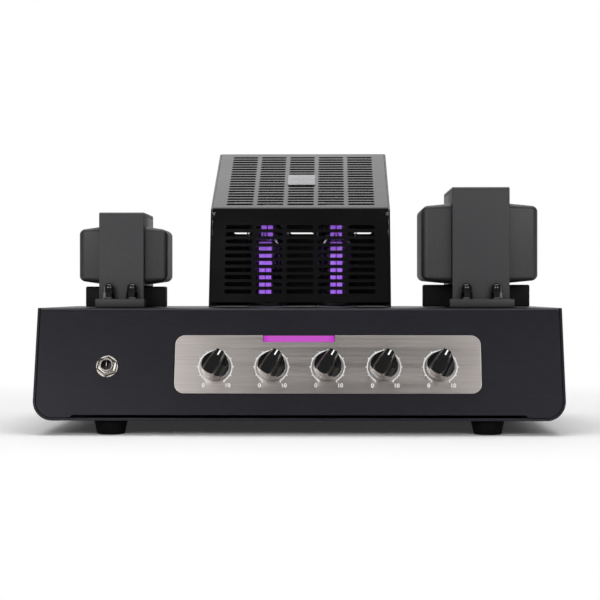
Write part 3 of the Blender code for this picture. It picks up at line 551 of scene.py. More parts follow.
def panel_matrix(x, down, out=0.0, turn=0.0):
    """Frame on the tilted front panel: X right, Y up the panel and Z out of it, turned about Z."""
    tilt = Matrix.Rotation(pi / 2 - PANEL_TILT, 4, "X")
    origin = Matrix.Translation((0, EDGE_Y, TOP_Z))
    return origin @ tilt @ Matrix.Translation((x, -down, out)) @ Matrix.Rotation(turn, 4, "Z")


def rear_matrix(x):
    """Frame on the rear panel: Z out of it, Y up."""
    turn = Matrix.Rotation(pi, 4, "Z") @ Matrix.Rotation(pi / 2, 4, "X")
    return Matrix.Translation((x, REAR_Y, REAR_Z)) @ turn


def top_matrix(x, y):
    """Frame on the chassis top, with y measured back from its front edge."""
    return Matrix.Translation((x, EDGE_Y + y, TOP_Z))


# Finishes

def new_finish(name, colour, roughness, metallic=0.0, specular=0.5):
    """Plain shader that a finish then enriches."""
    made = bpy.data.materials.new(name)
    made.use_nodes = True
    shader = made.node_tree.nodes["Principled BSDF"]
    shader.inputs["Base Color"].default_value = (*colour, 1.0)
    shader.inputs["Roughness"].default_value = roughness
    shader.inputs["Metallic"].default_value = metallic
    shader.inputs["Specular IOR Level"].default_value = specular
    return made, made.node_tree, shader


def object_vector(tree, stretch=(1, 1, 1)):
    """Object coordinates, each multiplied by its stretch."""
    coordinates = tree.nodes.new("ShaderNodeTexCoord")
    mapping = tree.nodes.new("ShaderNodeMapping")
    mapping.inputs["Scale"].default_value = stretch
    tree.links.new(coordinates.outputs["Object"], mapping.inputs["Vector"])
    return mapping.outputs["Vector"]


def axis_value(tree, axis, stretch=(1, 1, 1)):
    """One of the stretched Object coordinates."""
    split = tree.nodes.new("ShaderNodeSeparateXYZ")
    tree.links.new(object_vector(tree, stretch), split.inputs["Vector"])
    return split.outputs[axis]


def maths(tree, operation, *values):
    """Result of a math operation on some values."""
    node = tree.nodes.new("ShaderNodeMath")
    node.operation = operation
    for value, socket in zip(values, node.inputs):
        tree.links.new(value, socket)
    return node.outputs["Value"]


def grain(tree, scale, stretch=(1, 1, 1), detail=5.0):
    """Noise on Object coordinates, drawn out where the stretch is small."""
    noise = tree.nodes.new("ShaderNodeTexNoise")
    noise.inputs["Scale"].default_value = scale
    noise.inputs["Detail"].default_value = detail
    tree.links.new(object_vector(tree, stretch), noise.inputs["Vector"])
    return noise.outputs["Fac"]


def spread(tree, value, low, high, start=0.3, end=0.7):
    """Value between start and end mapped to low and high."""
    node = tree.nodes.new("ShaderNodeMapRange")
    node.inputs["From Min"].default_value = start
    node.inputs["From Max"].default_value = end
    node.inputs["To Min"].default_value = low
    node.inputs["To Max"].default_value = high
    tree.links.new(value, node.inputs["Value"])
    return node.outputs["Result"]


def tones(tree, value, stops):
    """Colour ramp over a value, from (position, colour) stops."""
    ramp = tree.nodes.new("ShaderNodeValToRGB")
    elements = ramp.color_ramp.elements
    while len(elements) < len(stops):
        elements.new(0.5)
    for element, (position, colour) in zip(elements, stops):
        element.position = position
        element.color = (*colour, 1.0)
    tree.links.new(value, ramp.inputs["Fac"])
    return ramp.outputs["Color"]


def shaded(colour, share):
    """Colour made darker or lighter by a share."""
    return tuple(min(1.0, part * share) for part in colour)


def bumped(tree, shader, height, strength):
    """Gives a shader the relief of a height."""
    node = tree.nodes.new("ShaderNodeBump")
    node.inputs["Strength"].default_value = strength
    node.inputs["Distance"].default_value = RELIEF_DEPTH
    tree.links.new(height, node.inputs["Height"])
    tree.links.new(node.outputs["Normal"], shader.inputs["Normal"])


def powder_coat(name, colour, roughness, specular, streak=1.0, contrast=0.2, relief=0.12):
    """Satin paint: tone and sheen change with a fine grain, drawn out along X where the streak is small."""
    made, tree, shader = new_finish(name, colour, roughness, specular=specular)
    fine = grain(tree, scale=900, stretch=(streak, 1, 1))
    broad = grain(tree, scale=14, detail=3.0)
    tone = tones(tree, fine, [(0.3, shaded(colour, 1 - contrast)), (0.7, shaded(colour, 1 + contrast))])
    tree.links.new(tone, shader.inputs["Base Color"])
    tree.links.new(spread(tree, broad, roughness - 0.05, roughness + 0.06), shader.inputs["Roughness"])
    bumped(tree, shader, grain(tree, scale=2600, detail=2.0), relief)
    return made


def brushed_metal(name, colour, roughness, along=(0.012, 1, 1), scale=2600):
    """Metal with long fine streaks in tone, sheen and relief."""
    made, tree, shader = new_finish(name, colour, roughness, metallic=1.0)
    streaks = grain(tree, scale, along, detail=4.0)
    broad = grain(tree, scale / 9, along, detail=2.0)
    tone = tones(tree, streaks, [(0.25, shaded(colour, 0.86)), (0.75, shaded(colour, 1.1))])
    tree.links.new(tone, shader.inputs["Base Color"])
    tree.links.new(spread(tree, broad, roughness - 0.06, roughness + 0.08), shader.inputs["Roughness"])
    bumped(tree, shader, streaks, 0.10)
    shader.inputs["Anisotropic"].default_value = 0.75
    way = tree.nodes.new("ShaderNodeCombineXYZ")
    way.inputs["Z"].default_value = 1.0
    tree.links.new(way.outputs["Vector"], shader.inputs["Tangent"])
    return made


def plated_metal(name, colour, roughness):
    """Bright plating with faint polishing marks."""
    made, tree, shader = new_finish(name, colour, roughness, metallic=1.0)
    marks = grain(tree, scale=400, detail=3.0)
    tree.links.new(spread(tree, marks, roughness * 0.7, roughness * 1.5), shader.inputs["Roughness"])
    tone = tones(tree, marks, [(0.3, shaded(colour, 0.92)), (0.7, shaded(colour, 1.05))])
    tree.links.new(tone, shader.inputs["Base Color"])
    return made


def moulded(name, colour, roughness, specular=0.5, relief=0.08, scale=1800):
    """Moulded plastic or rubber: faint cloud in tone and sheen over a fine skin."""
    made, tree, shader = new_finish(name, colour, roughness, specular=specular)
    cloud = grain(tree, scale=60, detail=3.0)
    tone = tones(tree, cloud, [(0.3, shaded(colour, 0.85)), (0.7, shaded(colour, 1.2))])
    tree.links.new(tone, shader.inputs["Base Color"])
    tree.links.new(spread(tree, cloud, roughness * 0.9, roughness * 1.12), shader.inputs["Roughness"])
    if relief:
        bumped(tree, shader, grain(tree, scale, detail=2.0), relief)
    return made


def lit_lens(name, edge, centre, half_width):
    """Plastic lit from behind: paler over most of its width, full colour at both ends."""
    made, tree, shader = new_finish(name, shaded(edge, 0.1), 0.25)
    side = maths(tree, "ABSOLUTE", axis_value(tree, "X", (1 / half_width, 1, 1)))
    colour = tones(tree, side, [(0.0, centre), (0.82, centre), (0.97, edge)])
    tree.links.new(colour, shader.inputs["Emission Color"])
    shader.inputs["Emission Strength"].default_value = 0.74
    return made


def valve_glass(name):
    """Thin clear glass with a slight tint."""
    made, tree, shader = new_finish(name, (0.93, 0.92, 0.96), 0.02)
    shader.inputs["Transmission Weight"].default_value = 1.0
    shader.inputs["IOR"].default_value = 1.12
    tree.links.new(spread(tree, grain(tree, scale=90, detail=2.0), 0.0, 0.05), shader.inputs["Roughness"])
    return made


def painted_light_metal(name, colour, glow, strength, low, high):
    """Grey metal with painted light: the violet light of the lamps below the valves, painted on as emission
    between two heights, least at its top.
    """
    made, tree, shader = new_finish(name, colour, 0.5, metallic=0.3)
    height = spread(tree, axis_value(tree, "Z"), 0.0, 1.0, low, high)
    colours = tones(tree, height, [(0.0, glow), (0.7, glow), (1.0, shaded(glow, 0.55))])
    tree.links.new(colours, shader.inputs["Emission Color"])
    shader.inputs["Emission Strength"].default_value = strength
    tone = tones(tree, grain(tree, scale=500), [(0.3, shaded(colour, 0.8)), (0.7, shaded(colour, 1.2))])
    tree.links.new(tone, shader.inputs["Base Color"])
    return made


def finishes(colours):
    """Every finish of the amplifier by name, made once."""
    if not FINISHES:
        FINISHES.update(
            chassis=powder_coat("chassis_paint", colours.chassis, roughness=0.42, specular=0.18,
                                streak=0.12),
            cage=powder_coat("cage_paint", colours.cage, roughness=0.22, specular=0.27, relief=0.03),
            iron=powder_coat("iron_paint", colours.iron, roughness=0.5, specular=0.6, contrast=0.5,
                             relief=0.3),
            plate=brushed_metal("plate_metal", colours.plate, roughness=0.36),
            badge=brushed_metal("badge_metal", (0.24, 0.24, 0.25), roughness=0.42, along=(0.05, 1, 1)),
            nickel=plated_metal("nickel", colours.nickel, roughness=0.2),
            knob=moulded("knob_gloss", colours.knob, roughness=0.05, specular=0.35, relief=0.0),
            knob_wall=plated_metal("knob_polish", (0.42, 0.40, 0.39), roughness=0.1),
            knob_top=moulded("knob_matt", (0.004, 0.0038, 0.0038), roughness=0.5, specular=0.12),
            print=moulded("dial_print", colours.print_white, roughness=0.6, specular=0.3, relief=0.05),
            rubber=moulded("foot_rubber", (0.002, 0.002, 0.0024), roughness=0.8, specular=0.1, relief=0.2,
                           scale=900),
            plastic=moulded("black_plastic", (0.010, 0.010, 0.0105), roughness=0.42, specular=0.4,
                            relief=0.15),
            dark=moulded("dark_inside", (0.004, 0.004, 0.004), roughness=0.6, specular=0.2),
            ceramic=moulded("socket_ceramic", (0.30, 0.29, 0.28), roughness=0.5, specular=0.4, relief=0.1,
                            scale=700),
            board=moulded("board_laminate", (0.02, 0.07, 0.03), roughness=0.5, specular=0.4),
            wrap=moulded("coil_wrap", (0.30, 0.19, 0.08), roughness=0.6, specular=0.4),
            steel=brushed_metal("core_steel", (0.05, 0.05, 0.055), roughness=0.5, along=(1, 1, 0.03),
                                scale=1200),
            nut=moulded("nut_gloss", (0.003, 0.003, 0.003), roughness=0.12, specular=0.6, relief=0.0),
            glass=valve_glass("valve_glass"),
            lens=lit_lens("lit_lens", colours.light_bar, colours.light_centre, LENS_WIDTH / 2),
        )
    return FINISHES


# Chassis

def front_y(z):
    """Y of the front panel's outer face at a height."""
    return EDGE_Y - (TOP_Z - z) * tan(PANEL_TILT)


def tray_shape(edge=0.3 * MM):
    """Tray of bottom and sides: a U section with chamfered rims, drawn in at both ends.

    The section runs round the outside and back round the inside. Its front end follows the panel's slant.
    """
    def line(inset, rim):
        half = TRAY_HIGH.x - inset
        radius = TRAY_CORNER - inset
        base = TRAY_LOW.z + inset + radius
        left = arc((radius - half, base), radius, pi, 1.5 * pi, 14)
        right = arc((half - radius, base), radius, 1.5 * pi, 2 * pi, 14)
        left_rim = [(-half + rim, TOP_Z), (-half, TOP_Z - edge)]
        right_rim = [(half, TOP_Z - edge), (half - rim, TOP_Z)]
        return np.concatenate([left_rim, left, right, right_rim])

    def section(inset, end, sign):
        flat = np.concatenate([line(inset, edge - inset), line(TRAY_SHEET - inset, inset - edge)[::-1]])
        y = end(flat[:, 1]) + sign * (edge - inset)
        return np.column_stack([flat[:, 0], y, flat[:, 1]])

    def rear(z):
        return np.full(len(z), REAR_Y)

    return skin(np.stack([section(edge, front_y, 1), section(0, front_y, 1),
                          section(0, rear, -1), section(edge, rear, -1)]), caps="strip")


def shell_lines():
    """Lines of the folded shell: X values and the height of its lower edge at each.

    The lower edge follows the tray's round corners and is raised along a shallow notch in between.
    """
    half = TRAY_HIGH.x - TRAY_SHEET - TRAY_SEAM
    radius = TRAY_CORNER - TRAY_SHEET - TRAY_SEAM
    base = TRAY_LOW.z + TRAY_SHEET + TRAY_SEAM
    notch_end = SKIRT_NOTCH_HALF + SKIRT_NOTCH_HEIGHT
    corner = half - radius + radius * np.sin(np.linspace(0, pi / 2, 15))
    right = np.concatenate([[0, SKIRT_NOTCH_HALF, notch_end], corner])
    lines = np.concatenate([-right[:0:-1], right])
    reach = np.clip(np.abs(lines) - (half - radius), 0, radius)
    raised = np.clip((notch_end - np.abs(lines)) / SKIRT_NOTCH_HEIGHT, 0, 1)
    low = base + radius - np.sqrt(radius ** 2 - reach ** 2) + SKIRT_NOTCH_HEIGHT * raised
    return lines, low


def shell_shape(bend):
    """Front panel and top as one bent sheet: the same bend on every line, with its own lower end."""
    lines, low = shell_lines()
    end_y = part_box("chassis_shell")[1].y
    support = 0.6 * MM
    corners = [(front_y(TRAY_LOW.z), TRAY_LOW.z), (EDGE_Y, TOP_Z), (end_y, TOP_Z)]
    points, _ = bent_path(corners, [bend])
    front = np.array([-cos(PANEL_TILT), sin(PANEL_TILT)])
    turns = np.linspace(PANEL_TILT, pi / 2, len(points) - 4)
    bent = np.stack([-np.cos(turns), np.sin(turns)], axis=-1)
    normals = np.concatenate([[front, front], bent, [(0, 1), (0, 1)]])
    rings = []
    for x, z in zip(lines, low):
        start = [(front_y(z), z), (front_y(z + support), z + support)]
        outer = np.concatenate([start, points[2:-2], [(end_y - support, TOP_Z), (end_y, TOP_Z)]])
        inner = outer - normals * CHASSIS_SHEET
        flat = np.concatenate([outer, inner[::-1]])
        rings.append(np.column_stack([np.full(len(flat), x), flat]))
    return skin(np.stack(rings), caps="strip")


def rear_shape(bevel=0.25 * MM):
    """Flat rear panel with round lower corners, in the frame of the rear fittings."""
    half = shell_lines()[0][-1]
    radius = TRAY_CORNER - TRAY_SHEET - TRAY_SEAM
    base = TRAY_LOW.z + TRAY_SHEET + TRAY_SEAM - REAR_Z
    top = TOP_Z - REAR_Z

    def outline(inset):
        small = radius - inset
        left = arc((-half + radius, base + radius), small, pi, 1.5 * pi, 14)
        right = arc((half - radius, base + radius), small, 1.5 * pi, 2 * pi, 14)
        upper = [(half - inset, top - inset), (-half + inset, top - inset)]
        return np.concatenate([left, right, upper])
    return block(outline, soft_edges(-CHASSIS_SHEET, 0, bevel, 2))


def rear_windows():
    """X and outline of each opening in the rear panel."""
    play = 2 * GAP
    windows = [(INLET_X, rounded_rectangle(INLET_BODY[0] + play, INLET_BODY[1] + play, 1.2 * MM)),
               (SWITCH_X, rounded_rectangle(SWITCH_BODY[0] + play, SWITCH_BODY[1] + play, 0.8 * MM)),
               (LINE_X, circle(LINE_RADIUS + GAP, 48))]
    windows += [(x, circle(JACK_HOLE, 48)) for x in SPEAKER_X]
    return windows


def bushing_cuts(reach):
    """Cutters for the holes round the five knob shafts."""
    return [placed(hole(BUSHING_HOLE, -reach, reach), panel_matrix(joint["pos_m"][0], KNOB_DOWN))
            for joint in KNOB_JOINTS]


class AMPLIFIER_OT_chassis(bpy.types.Operator):
    """Builds the bent shell, the tray round it and the rear panel"""
    bl_idname = "amplifier.chassis"
    bl_label = "Chassis"

    def execute(self, context):
        finish = finishes(context.scene.amplifier_colours)["chassis"]
        bend = context.scene.amplifier_sizes.chassis_bend
        reach = 8 * MM
        add_piece("tray_skin", tray_shape(), finish, ["bottom_tray"])
        shell = add_piece("shell_skin", shell_shape(bend), finish, ["chassis_shell"])
        cuts = bushing_cuts(reach)
        cuts.append(placed(hole(JACK_HOLE, -reach, reach), panel_matrix(JACK_X, JACK_DOWN)))
        window = rounded_rectangle(LENS_WIDTH + 2 * GAP, LENS_BASE - LENS_TOP + 2 * GAP, 0.5 * MM)
        cuts.append(placed(prism(window, -reach, reach), panel_matrix(0, (LENS_TOP + LENS_BASE) / 2)))
        cuts += [placed(hole(radius, -reach, reach, 64), top_matrix(x, y)) for x, y, radius in VALVE_HOLES]
        carve(shell, together(*cuts))
        panel = placed(rear_shape(), rear_matrix(0))
        rear = add_piece("rear_skin", panel, finish, ["rear_panel"])
        cuts = [placed(prism(outline, -reach, reach), rear_matrix(x)) for x, outline in rear_windows()]
        carve(rear, together(*cuts))
        return {"FINISHED"}


def foot_shape():
    """Tapered rubber foot with a round lower edge and a screw recess in its base."""
    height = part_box("foot_front_left")[1].z
    top = 11.75 * MM
    base = 10.0 * MM
    lip = 1.2 * MM
    recess = 4.2 * MM
    lower = arc((base - lip, lip), lip, -pi / 2, 0, 6)
    upper = arc((top - 0.5 * MM, height - 0.5 * MM), 0.5 * MM, 0, pi / 2, 4)
    ceiling = [(0, 4 * MM), (recess - 0.3 * MM, 4 * MM), (recess, 3.7 * MM),
               (recess, 0.4 * MM), (recess + 0.4 * MM, 0)]
    return turned(np.concatenate([ceiling, lower, upper, [(0, height)]]), 72)


class AMPLIFIER_OT_feet(bpy.types.Operator):
    """Builds the four rubber feet and the screws that hold them"""
    bl_idname = "amplifier.feet"
    bl_label = "Feet"

    def execute(self, context):
        made = finishes(context.scene.amplifier_colours)
        head = turned(MM * np.array([(0, 2.2), (2.6, 2.3), (3.1, 2.9), (3.1, 3.9), (0, 3.9)]), 32)
        for end in ("front", "rear"):
            for side in ("left", "right"):
                node = f"foot_{end}_{side}"
                low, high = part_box(node)
                spot = Matrix.Translation(((low.x + high.x) / 2, (low.y + high.y) / 2, 0))
                add_piece(f"{node}_rubber", placed(foot_shape(), spot), made["rubber"], [node])
                add_piece(f"{node}_screw", placed(head, spot), made["nickel"])
        return {"FINISHED"}


# Front controls

class AMPLIFIER_OT_plate(bpy.types.Operator):
    """Builds the brushed control plate with its light window"""
    bl_idname = "amplifier.plate"
    bl_label = "Control plate"

    def execute(self, context):
        finish = finishes(context.scene.amplifier_colours)["plate"]
        bevel = context.scene.amplifier_sizes.plate_edge
        outline = rounded_rectangle(PLATE_WIDTH, PLATE_BASE - PLATE_TOP, PLATE_CORNER, 12)
        spot = panel_matrix(PLATE_X, (PLATE_TOP + PLATE_BASE) / 2)
        shape = placed(block(outline, soft_edges(PLATE_BACK, PLATE_FACE, bevel)), spot)
        plate = add_piece("plate_skin", shape, finish, ["control_plate"])
        reach = 4 * MM
        cuts = bushing_cuts(reach)
        top = PLATE_TOP - reach
        base = LENS_BASE + GAP
        window = rounded_rectangle(LENS_WIDTH + 2 * GAP, base - top, 0.5 * MM)
        cuts.append(placed(prism(window, -reach, reach), panel_matrix(0, (top + base) / 2)))
        carve(plate, together(*cuts))
        return {"FINISHED"}


class AMPLIFIER_OT_light(bpy.types.Operator):
    """Builds the lit bar above the dials"""
    bl_idname = "amplifier.light"
    bl_label = "Status light"

    def execute(self, context):
        finish = finishes(context.scene.amplifier_colours)["lens"]
        outline = rounded_rectangle(LENS_WIDTH, LENS_BASE - LENS_TOP, 0.7 * MM, 5)
        shape = block(outline, soft_edges(LENS_BACK, LENS_FACE, 0.45 * MM))
        add_piece("light_bar", placed(shape, panel_matrix(0, (LENS_TOP + LENS_BASE) / 2)), finish,
                  ["status_lens"])
        return {"FINISHED"}


def ring_band(inner, outer, low, high, start, end, steps):
    """Flat band between two radii, from one angle to another."""
    section = np.array([(inner, low), (outer, low), (outer, high), (inner, high)])
    angles = np.linspace(start, end, steps + 1)
    radius = section[None, :, 0]
    rings = np.stack([radius * np.sin(angles)[:, None], radius * np.cos(angles)[:, None],
                      np.broadcast_to(section[None, :, 1], (steps + 1, 4))], axis=-1)
    return skin(rings)


def numeral(text, size, thickness, x, y):
    """Plain number as a mesh, centred on a point."""
    curve = bpy.data.curves.new("numeral", "FONT")
    curve.body = text
    curve.size = size
    curve.align_x = "CENTER"
    curve.align_y = "CENTER"
    curve.extrude = thickness / 2
    curve.offset = NUMERAL_WEIGHT
    curve.resolution_u = 6
    made = bpy.data.objects.new("numeral", curve)
    bpy.context.scene.collection.objects.link(made)
    graph = bpy.context.evaluated_depsgraph_get()
    mesh = bpy.data.meshes.new_from_object(made.evaluated_get(graph))
    mesh.calc_loop_triangles()
    points = np.empty(len(mesh.vertices) * 3)
    mesh.vertices.foreach_get("co", points)
    triangles = np.empty(len(mesh.loop_triangles) * 3, int)
    mesh.loop_triangles.foreach_get("vertices", triangles)
    bpy.data.objects.remove(made)
    bpy.data.curves.remove(curve)
    bpy.data.meshes.remove(mesh)
    return points.reshape(-1, 3) + (x, y, 0), [triangles.reshape(-1, 3)]


def dial_shape(radius):
    """Printed ring open at the bottom, eleven ticks outside it and the numbers of its two ends."""
    film = 0.05 * MM
    low = PLATE_FACE - 0.01 * MM
    high = PLATE_FACE + film
    width = 0.4 * MM
    tick_end = radius + 1.3 * MM
    tick_half = 0.3 * MM / radius
    number_size = 4.1 * MM
    number_y = -13.6 * MM
    sweep = radians(150)
    parts = [ring_band(radius - width, radius + width, low, high, -sweep, sweep, 96)]
    for angle in np.linspace(-sweep, sweep, 11):
        sides = (angle - tick_half, angle + tick_half)
        parts.append(ring_band(radius + width, tick_end, low, high, *sides, 1))
    for text, x in (("0", -8.3 * MM), ("10", 8.7 * MM)):
        points, faces = numeral(text, number_size, film, x, number_y)
        parts.append((points + (0, 0, (low + high) / 2), faces))
    return together(*parts)


class AMPLIFIER_OT_dials(bpy.types.Operator):
    """Builds the five printed dials"""
    bl_idname = "amplifier.dials"
    bl_label = "Dials"

    def execute(self, context):
        finish = finishes(context.scene.amplifier_colours)["print"]
        shape = dial_shape(context.scene.amplifier_sizes.dial_radius)
        for number, joint in enumerate(KNOB_JOINTS, 1):
            spot = panel_matrix(joint["pos_m"][0], KNOB_DOWN)
            add_piece(f"dial_{number}_print", placed(shape, spot), finish)
        return {"FINISHED"}


def knob_shape(bar, scoop):
    """Round pointer knob: its height over the disc is the lower of a flat crown and two finger scoops.

    On polar lines, the crown falls off near the rim by a quarter circle. A scoop is a hollow cylinder of
    the given radius beside the tapered bar, and a soft minimum rounds the edge between bar and scoop.
    """
    spokes = 192
    fillet = 0.5 * MM
    soft = 0.16 * MM
    foot = 0.4 * MM
    base = KNOB_RADIUS - 0.3 * MM
    bar_rise = 3
    bar_reach = 4 * MM
    radii = np.concatenate([np.linspace(0.1, 0.94, 54), np.linspace(0.95, 1.0, 9)])
    angles = np.linspace(0, 2 * pi, spokes + 1)[:-1]
    r = radii[:, None] * KNOB_TOP_RADIUS
    x = r * np.sin(angles)
    y = r * np.cos(angles)
    edge = np.clip(r - (KNOB_TOP_RADIUS - fillet), 0, fillet)
    crown = KNOB_HEIGHT - fillet + np.sqrt(fillet ** 2 - edge ** 2) + 0 * x
    beside = np.abs(x) - (bar - y * tan(KNOB_BAR_TAPER))
    hollow = np.sqrt(np.clip(scoop ** 2 - np.clip(scoop - beside, 0, scoop) ** 2, 0, None))
    over_bar = -bar_rise * beside.clip(-bar_reach, 0)
    scooped = KNOB_HEIGHT + np.where(beside > 0, -hollow, over_bar)
    shares = [np.exp((KNOB_HEIGHT - surface) / soft) for surface in (crown, scooped)]
    z = np.minimum(KNOB_HEIGHT - soft * np.log(shares[0] + shares[1]), KNOB_HEIGHT)
    rows = []
    for share in (0.25, 0.5, 0.75, 1.0):
        height = z[-1] * (1 - share) + foot * share
        radius = KNOB_RADIUS + (KNOB_TOP_RADIUS - KNOB_RADIUS) * height / KNOB_HEIGHT
        rows.append(np.stack([radius * np.sin(angles), radius * np.cos(angles), height], axis=-1))
    rows.append(np.stack([base * np.sin(angles), base * np.cos(angles), 0 * angles], axis=-1))
    return skin(np.concatenate([np.stack([x, y, z], axis=-1), np.stack(rows)]))


def dress_knob(knob, local, crown, wall):
    """Gives the flat crown of a knob a matt finish and its round wall a polished one."""
    crown_start = KNOB_HEIGHT - 0.12 * MM
    wall_start = 0.97 * KNOB_TOP_RADIUS
    steep = 0.3
    knob.data.materials.append(crown)
    knob.data.materials.append(wall)
    turn = local.to_3x3()
    for face in knob.data.polygons:
        centre = local @ face.center
        if centre.z > crown_start:
            face.material_index = 1
        elif abs((turn @ face.normal).z) < steep and centre.xy.length > wall_start:
            face.material_index = 2


class AMPLIFIER_OT_knobs(bpy.types.Operator):
    """Builds the five pointer knobs, each with its white line"""
    bl_idname = "amplifier.knobs"
    bl_label = "Knobs"

    def execute(self, context):
        made = finishes(context.scene.amplifier_colours)
        sizes = context.scene.amplifier_sizes
        shape = knob_shape(sizes.knob_bar, sizes.knob_scoop)
        line = box((-0.55 * MM, 5.0 * MM, KNOB_HEIGHT - 0.05 * MM),
                   (0.55 * MM, 9.0 * MM, KNOB_HEIGHT + 0.03 * MM), 0.02 * MM, 2)
        for number, joint in enumerate(KNOB_JOINTS, 1):
            body = joint["child"]
            node = f"knob_{number}"
            spot = panel_matrix(joint["pos_m"][0], KNOB_DOWN, KNOB_BASE, -KNOB_REST)
            knob = add_piece(f"{node}_skin", placed(shape, spot), made["knob"], [node], body)
            dress_knob(knob, spot.inverted(), made["knob_top"], made["knob_wall"])
            add_piece(f"{node}_line", placed(line, spot), made["print"], body=body)
        return {"FINISHED"}


def washer_shape(bore, radius, low, high, segments):
    """Flat ring with a bevelled upper edge."""
    bevel = 0.3 * MM
    edge = [(radius, high - bevel), (radius - bevel, high)]
    return turned([(bore, low), (radius, low), *edge, (bore, high)], segments, closed=True)


def nut_shape(flats, bore, low, high):
    """Hexagon nut: a hexagon outside, a round bore inside and chamfered corners at its top."""
    bevel = 0.2 * MM
    brim = 0.15 * MM
    outside = hexagon(flats, 0.3 * MM, 5)
    count = len(outside)
    angles = np.arctan2(outside[:, 1], outside[:, 0])
    unit = np.stack([np.cos(angles), np.sin(angles)], axis=-1)
    reach = np.linalg.norm(outside, axis=1)
    crown = np.minimum(reach, flats / 2)
    fall = (reach - crown) * tan(radians(30))
    rows = [(unit * bore, np.full(count, low)), (outside, np.full(count, low)),
            (outside, high - fall - brim), (unit * (crown[:, None] - bevel), np.full(count, high)),
            (unit * (bore + bevel), np.full(count, high)), (unit * bore, np.full(count, high - bevel))]
    rings = np.stack([np.column_stack([flat, height]) for flat, height in rows])
    return skin(rings, caps="none", wrap=True)


def jack_shape(hex_turn):
    """Threaded bushing with a bore, a washer and a hexagon nut, and the housing behind the panel."""
    bore = 3.6 * MM
    bushing = 4.75 * MM
    back = -20 * MM
    pitch = 0.5 * MM
    groove = 0.2 * MM
    lip_round = 0.4 * MM
    mouth_round = 0.5 * MM
    washer_top = 1.1 * MM
    ring_bore = bushing + 0.05 * MM
    crests = np.arange(JACK_NUT_TOP - 0.3 * MM, JACK_FACE - 0.5 * MM, pitch)
    thread = np.array([pair for z in crests for pair in ((bushing, z), (bushing - groove, z + pitch / 2))])
    lip = arc((bushing - lip_round, JACK_FACE - lip_round), lip_round, 0, pi / 2, 4)
    mouth = arc((bore + mouth_round, JACK_FACE - mouth_round), mouth_round, pi / 2, pi, 4)
    inside = [(bore, back), (bushing, back)]
    barrel = turned(np.concatenate([thread, lip, mouth, inside]), 64, closed=True)
    washer = washer_shape(ring_bore, 7.9 * MM, 0, washer_top, 64)
    nut = nut_shape(JACK_NUT_FLATS, ring_bore, washer_top, JACK_NUT_TOP)
    housing = box((-8.5 * MM, -10 * MM, -26.9 * MM), (8.5 * MM, 10 * MM, -1.9 * MM), 0.6 * MM)
    return together(barrel, washer, placed(nut, Matrix.Rotation(hex_turn, 4, "Z"))), housing


def spring_shape():
    """Leaf contact that reaches into a socket's bore from above."""
    return box((-0.8 * MM, 0.2 * MM, 0.2 * MM), (-0.1 * MM, 3.4 * MM, 1.6 * MM), 0.12 * MM)


class AMPLIFIER_OT_input(bpy.types.Operator):
    """Builds the input socket with its nut, washer and contact"""
    bl_idname = "amplifier.input"
    bl_label = "Input socket"

    def execute(self, context):
        made = finishes(context.scene.amplifier_colours)
        spot = panel_matrix(JACK_X, JACK_DOWN)
        metal, housing = jack_shape(radians(20))
        add_piece("input_socket", placed(metal, spot), made["nickel"], ["input_jack"])
        add_piece("input_housing", placed(housing, spot), made["plastic"])
        add_piece("input_spring", placed(spring_shape(), spot), made["nickel"])
        return {"FINISHED"}


# Transformers

def bell_shape(width, height, deep, rounding, taper):
    """Rounded cover: a rounded rectangle that shrinks as it rises and turns over into a rounded face."""
    outline = rounded_rectangle(width, height, rounding, 10)
    turns = np.linspace(0, pi / 2, 11)
    rise = deep - rounding
    flank = [(0, 0), (taper / 2, rise / 2)]
    crown = np.column_stack([taper + rounding * (1 - np.cos(turns)), rise + rounding * np.sin(turns)])
    inside = [(taper + rounding + 0.6 * MM, deep)]
    return block(outline, np.concatenate([flank, crown, inside]))


def strap_shape(unit):
    """Bent strap over the core: the section of its path swept across the core with small edges."""
    depth = unit["depth"]
    height = unit["height"]
    corners = [(0, GAP), (0, height), (depth, height), (depth, GAP)]
    points, length = bent_path(corners, [STRAP_BEND, STRAP_BEND], 10)
    support = 0.5 * MM
    edge = 0.25 * MM
    stations = np.concatenate([[0, support], length[1:-1], [length[-1] - support, length[-1]]])
    full = sheet_section(points, length, stations, 0, STRAP_SHEET)
    tight = sheet_section(points, length, stations, edge, STRAP_SHEET - edge)
    half = unit["stack"] / 2
    rows = [(-half, tight), (-half + edge, full), (half - edge, full), (half, tight)]
    rings = np.stack([np.column_stack([np.full(len(flat), x), flat]) for x, flat in rows])
    return skin(rings, caps="strip")


def cap_nut_shape():
    """Dome nut on a flange: washer and hexagon below, collar and round cap above."""
    bore = 1.5 * MM
    base = FLANGE_HEIGHT - 0.5 * MM
    radius = 3.6 * MM
    collar = FLANGE_HEIGHT + 5 * MM
    washer = washer_shape(bore, 4.6 * MM, base, base + 1.7 * MM, 32)
    body = nut_shape(2 * radius, bore, base, FLANGE_HEIGHT + 5.5 * MM)
    dome = arc((0, FLANGE_HEIGHT + 8.2 * MM), radius, 0, pi / 2, 10)
    cap = turned(np.concatenate([[(0, collar), (radius, collar)], dome]), 32)
    return together(washer, body, cap)


def core_shape(unit):
    """Closed laminated block under the strap, seen above and below the bells."""
    wall = STRAP_SHEET + GAP
    half = unit["stack"] / 2
    return box((-half, wall, unit["shroud_height"] + GAP),
               (half, unit["depth"] - wall, unit["height"] - wall), 0.4 * MM)


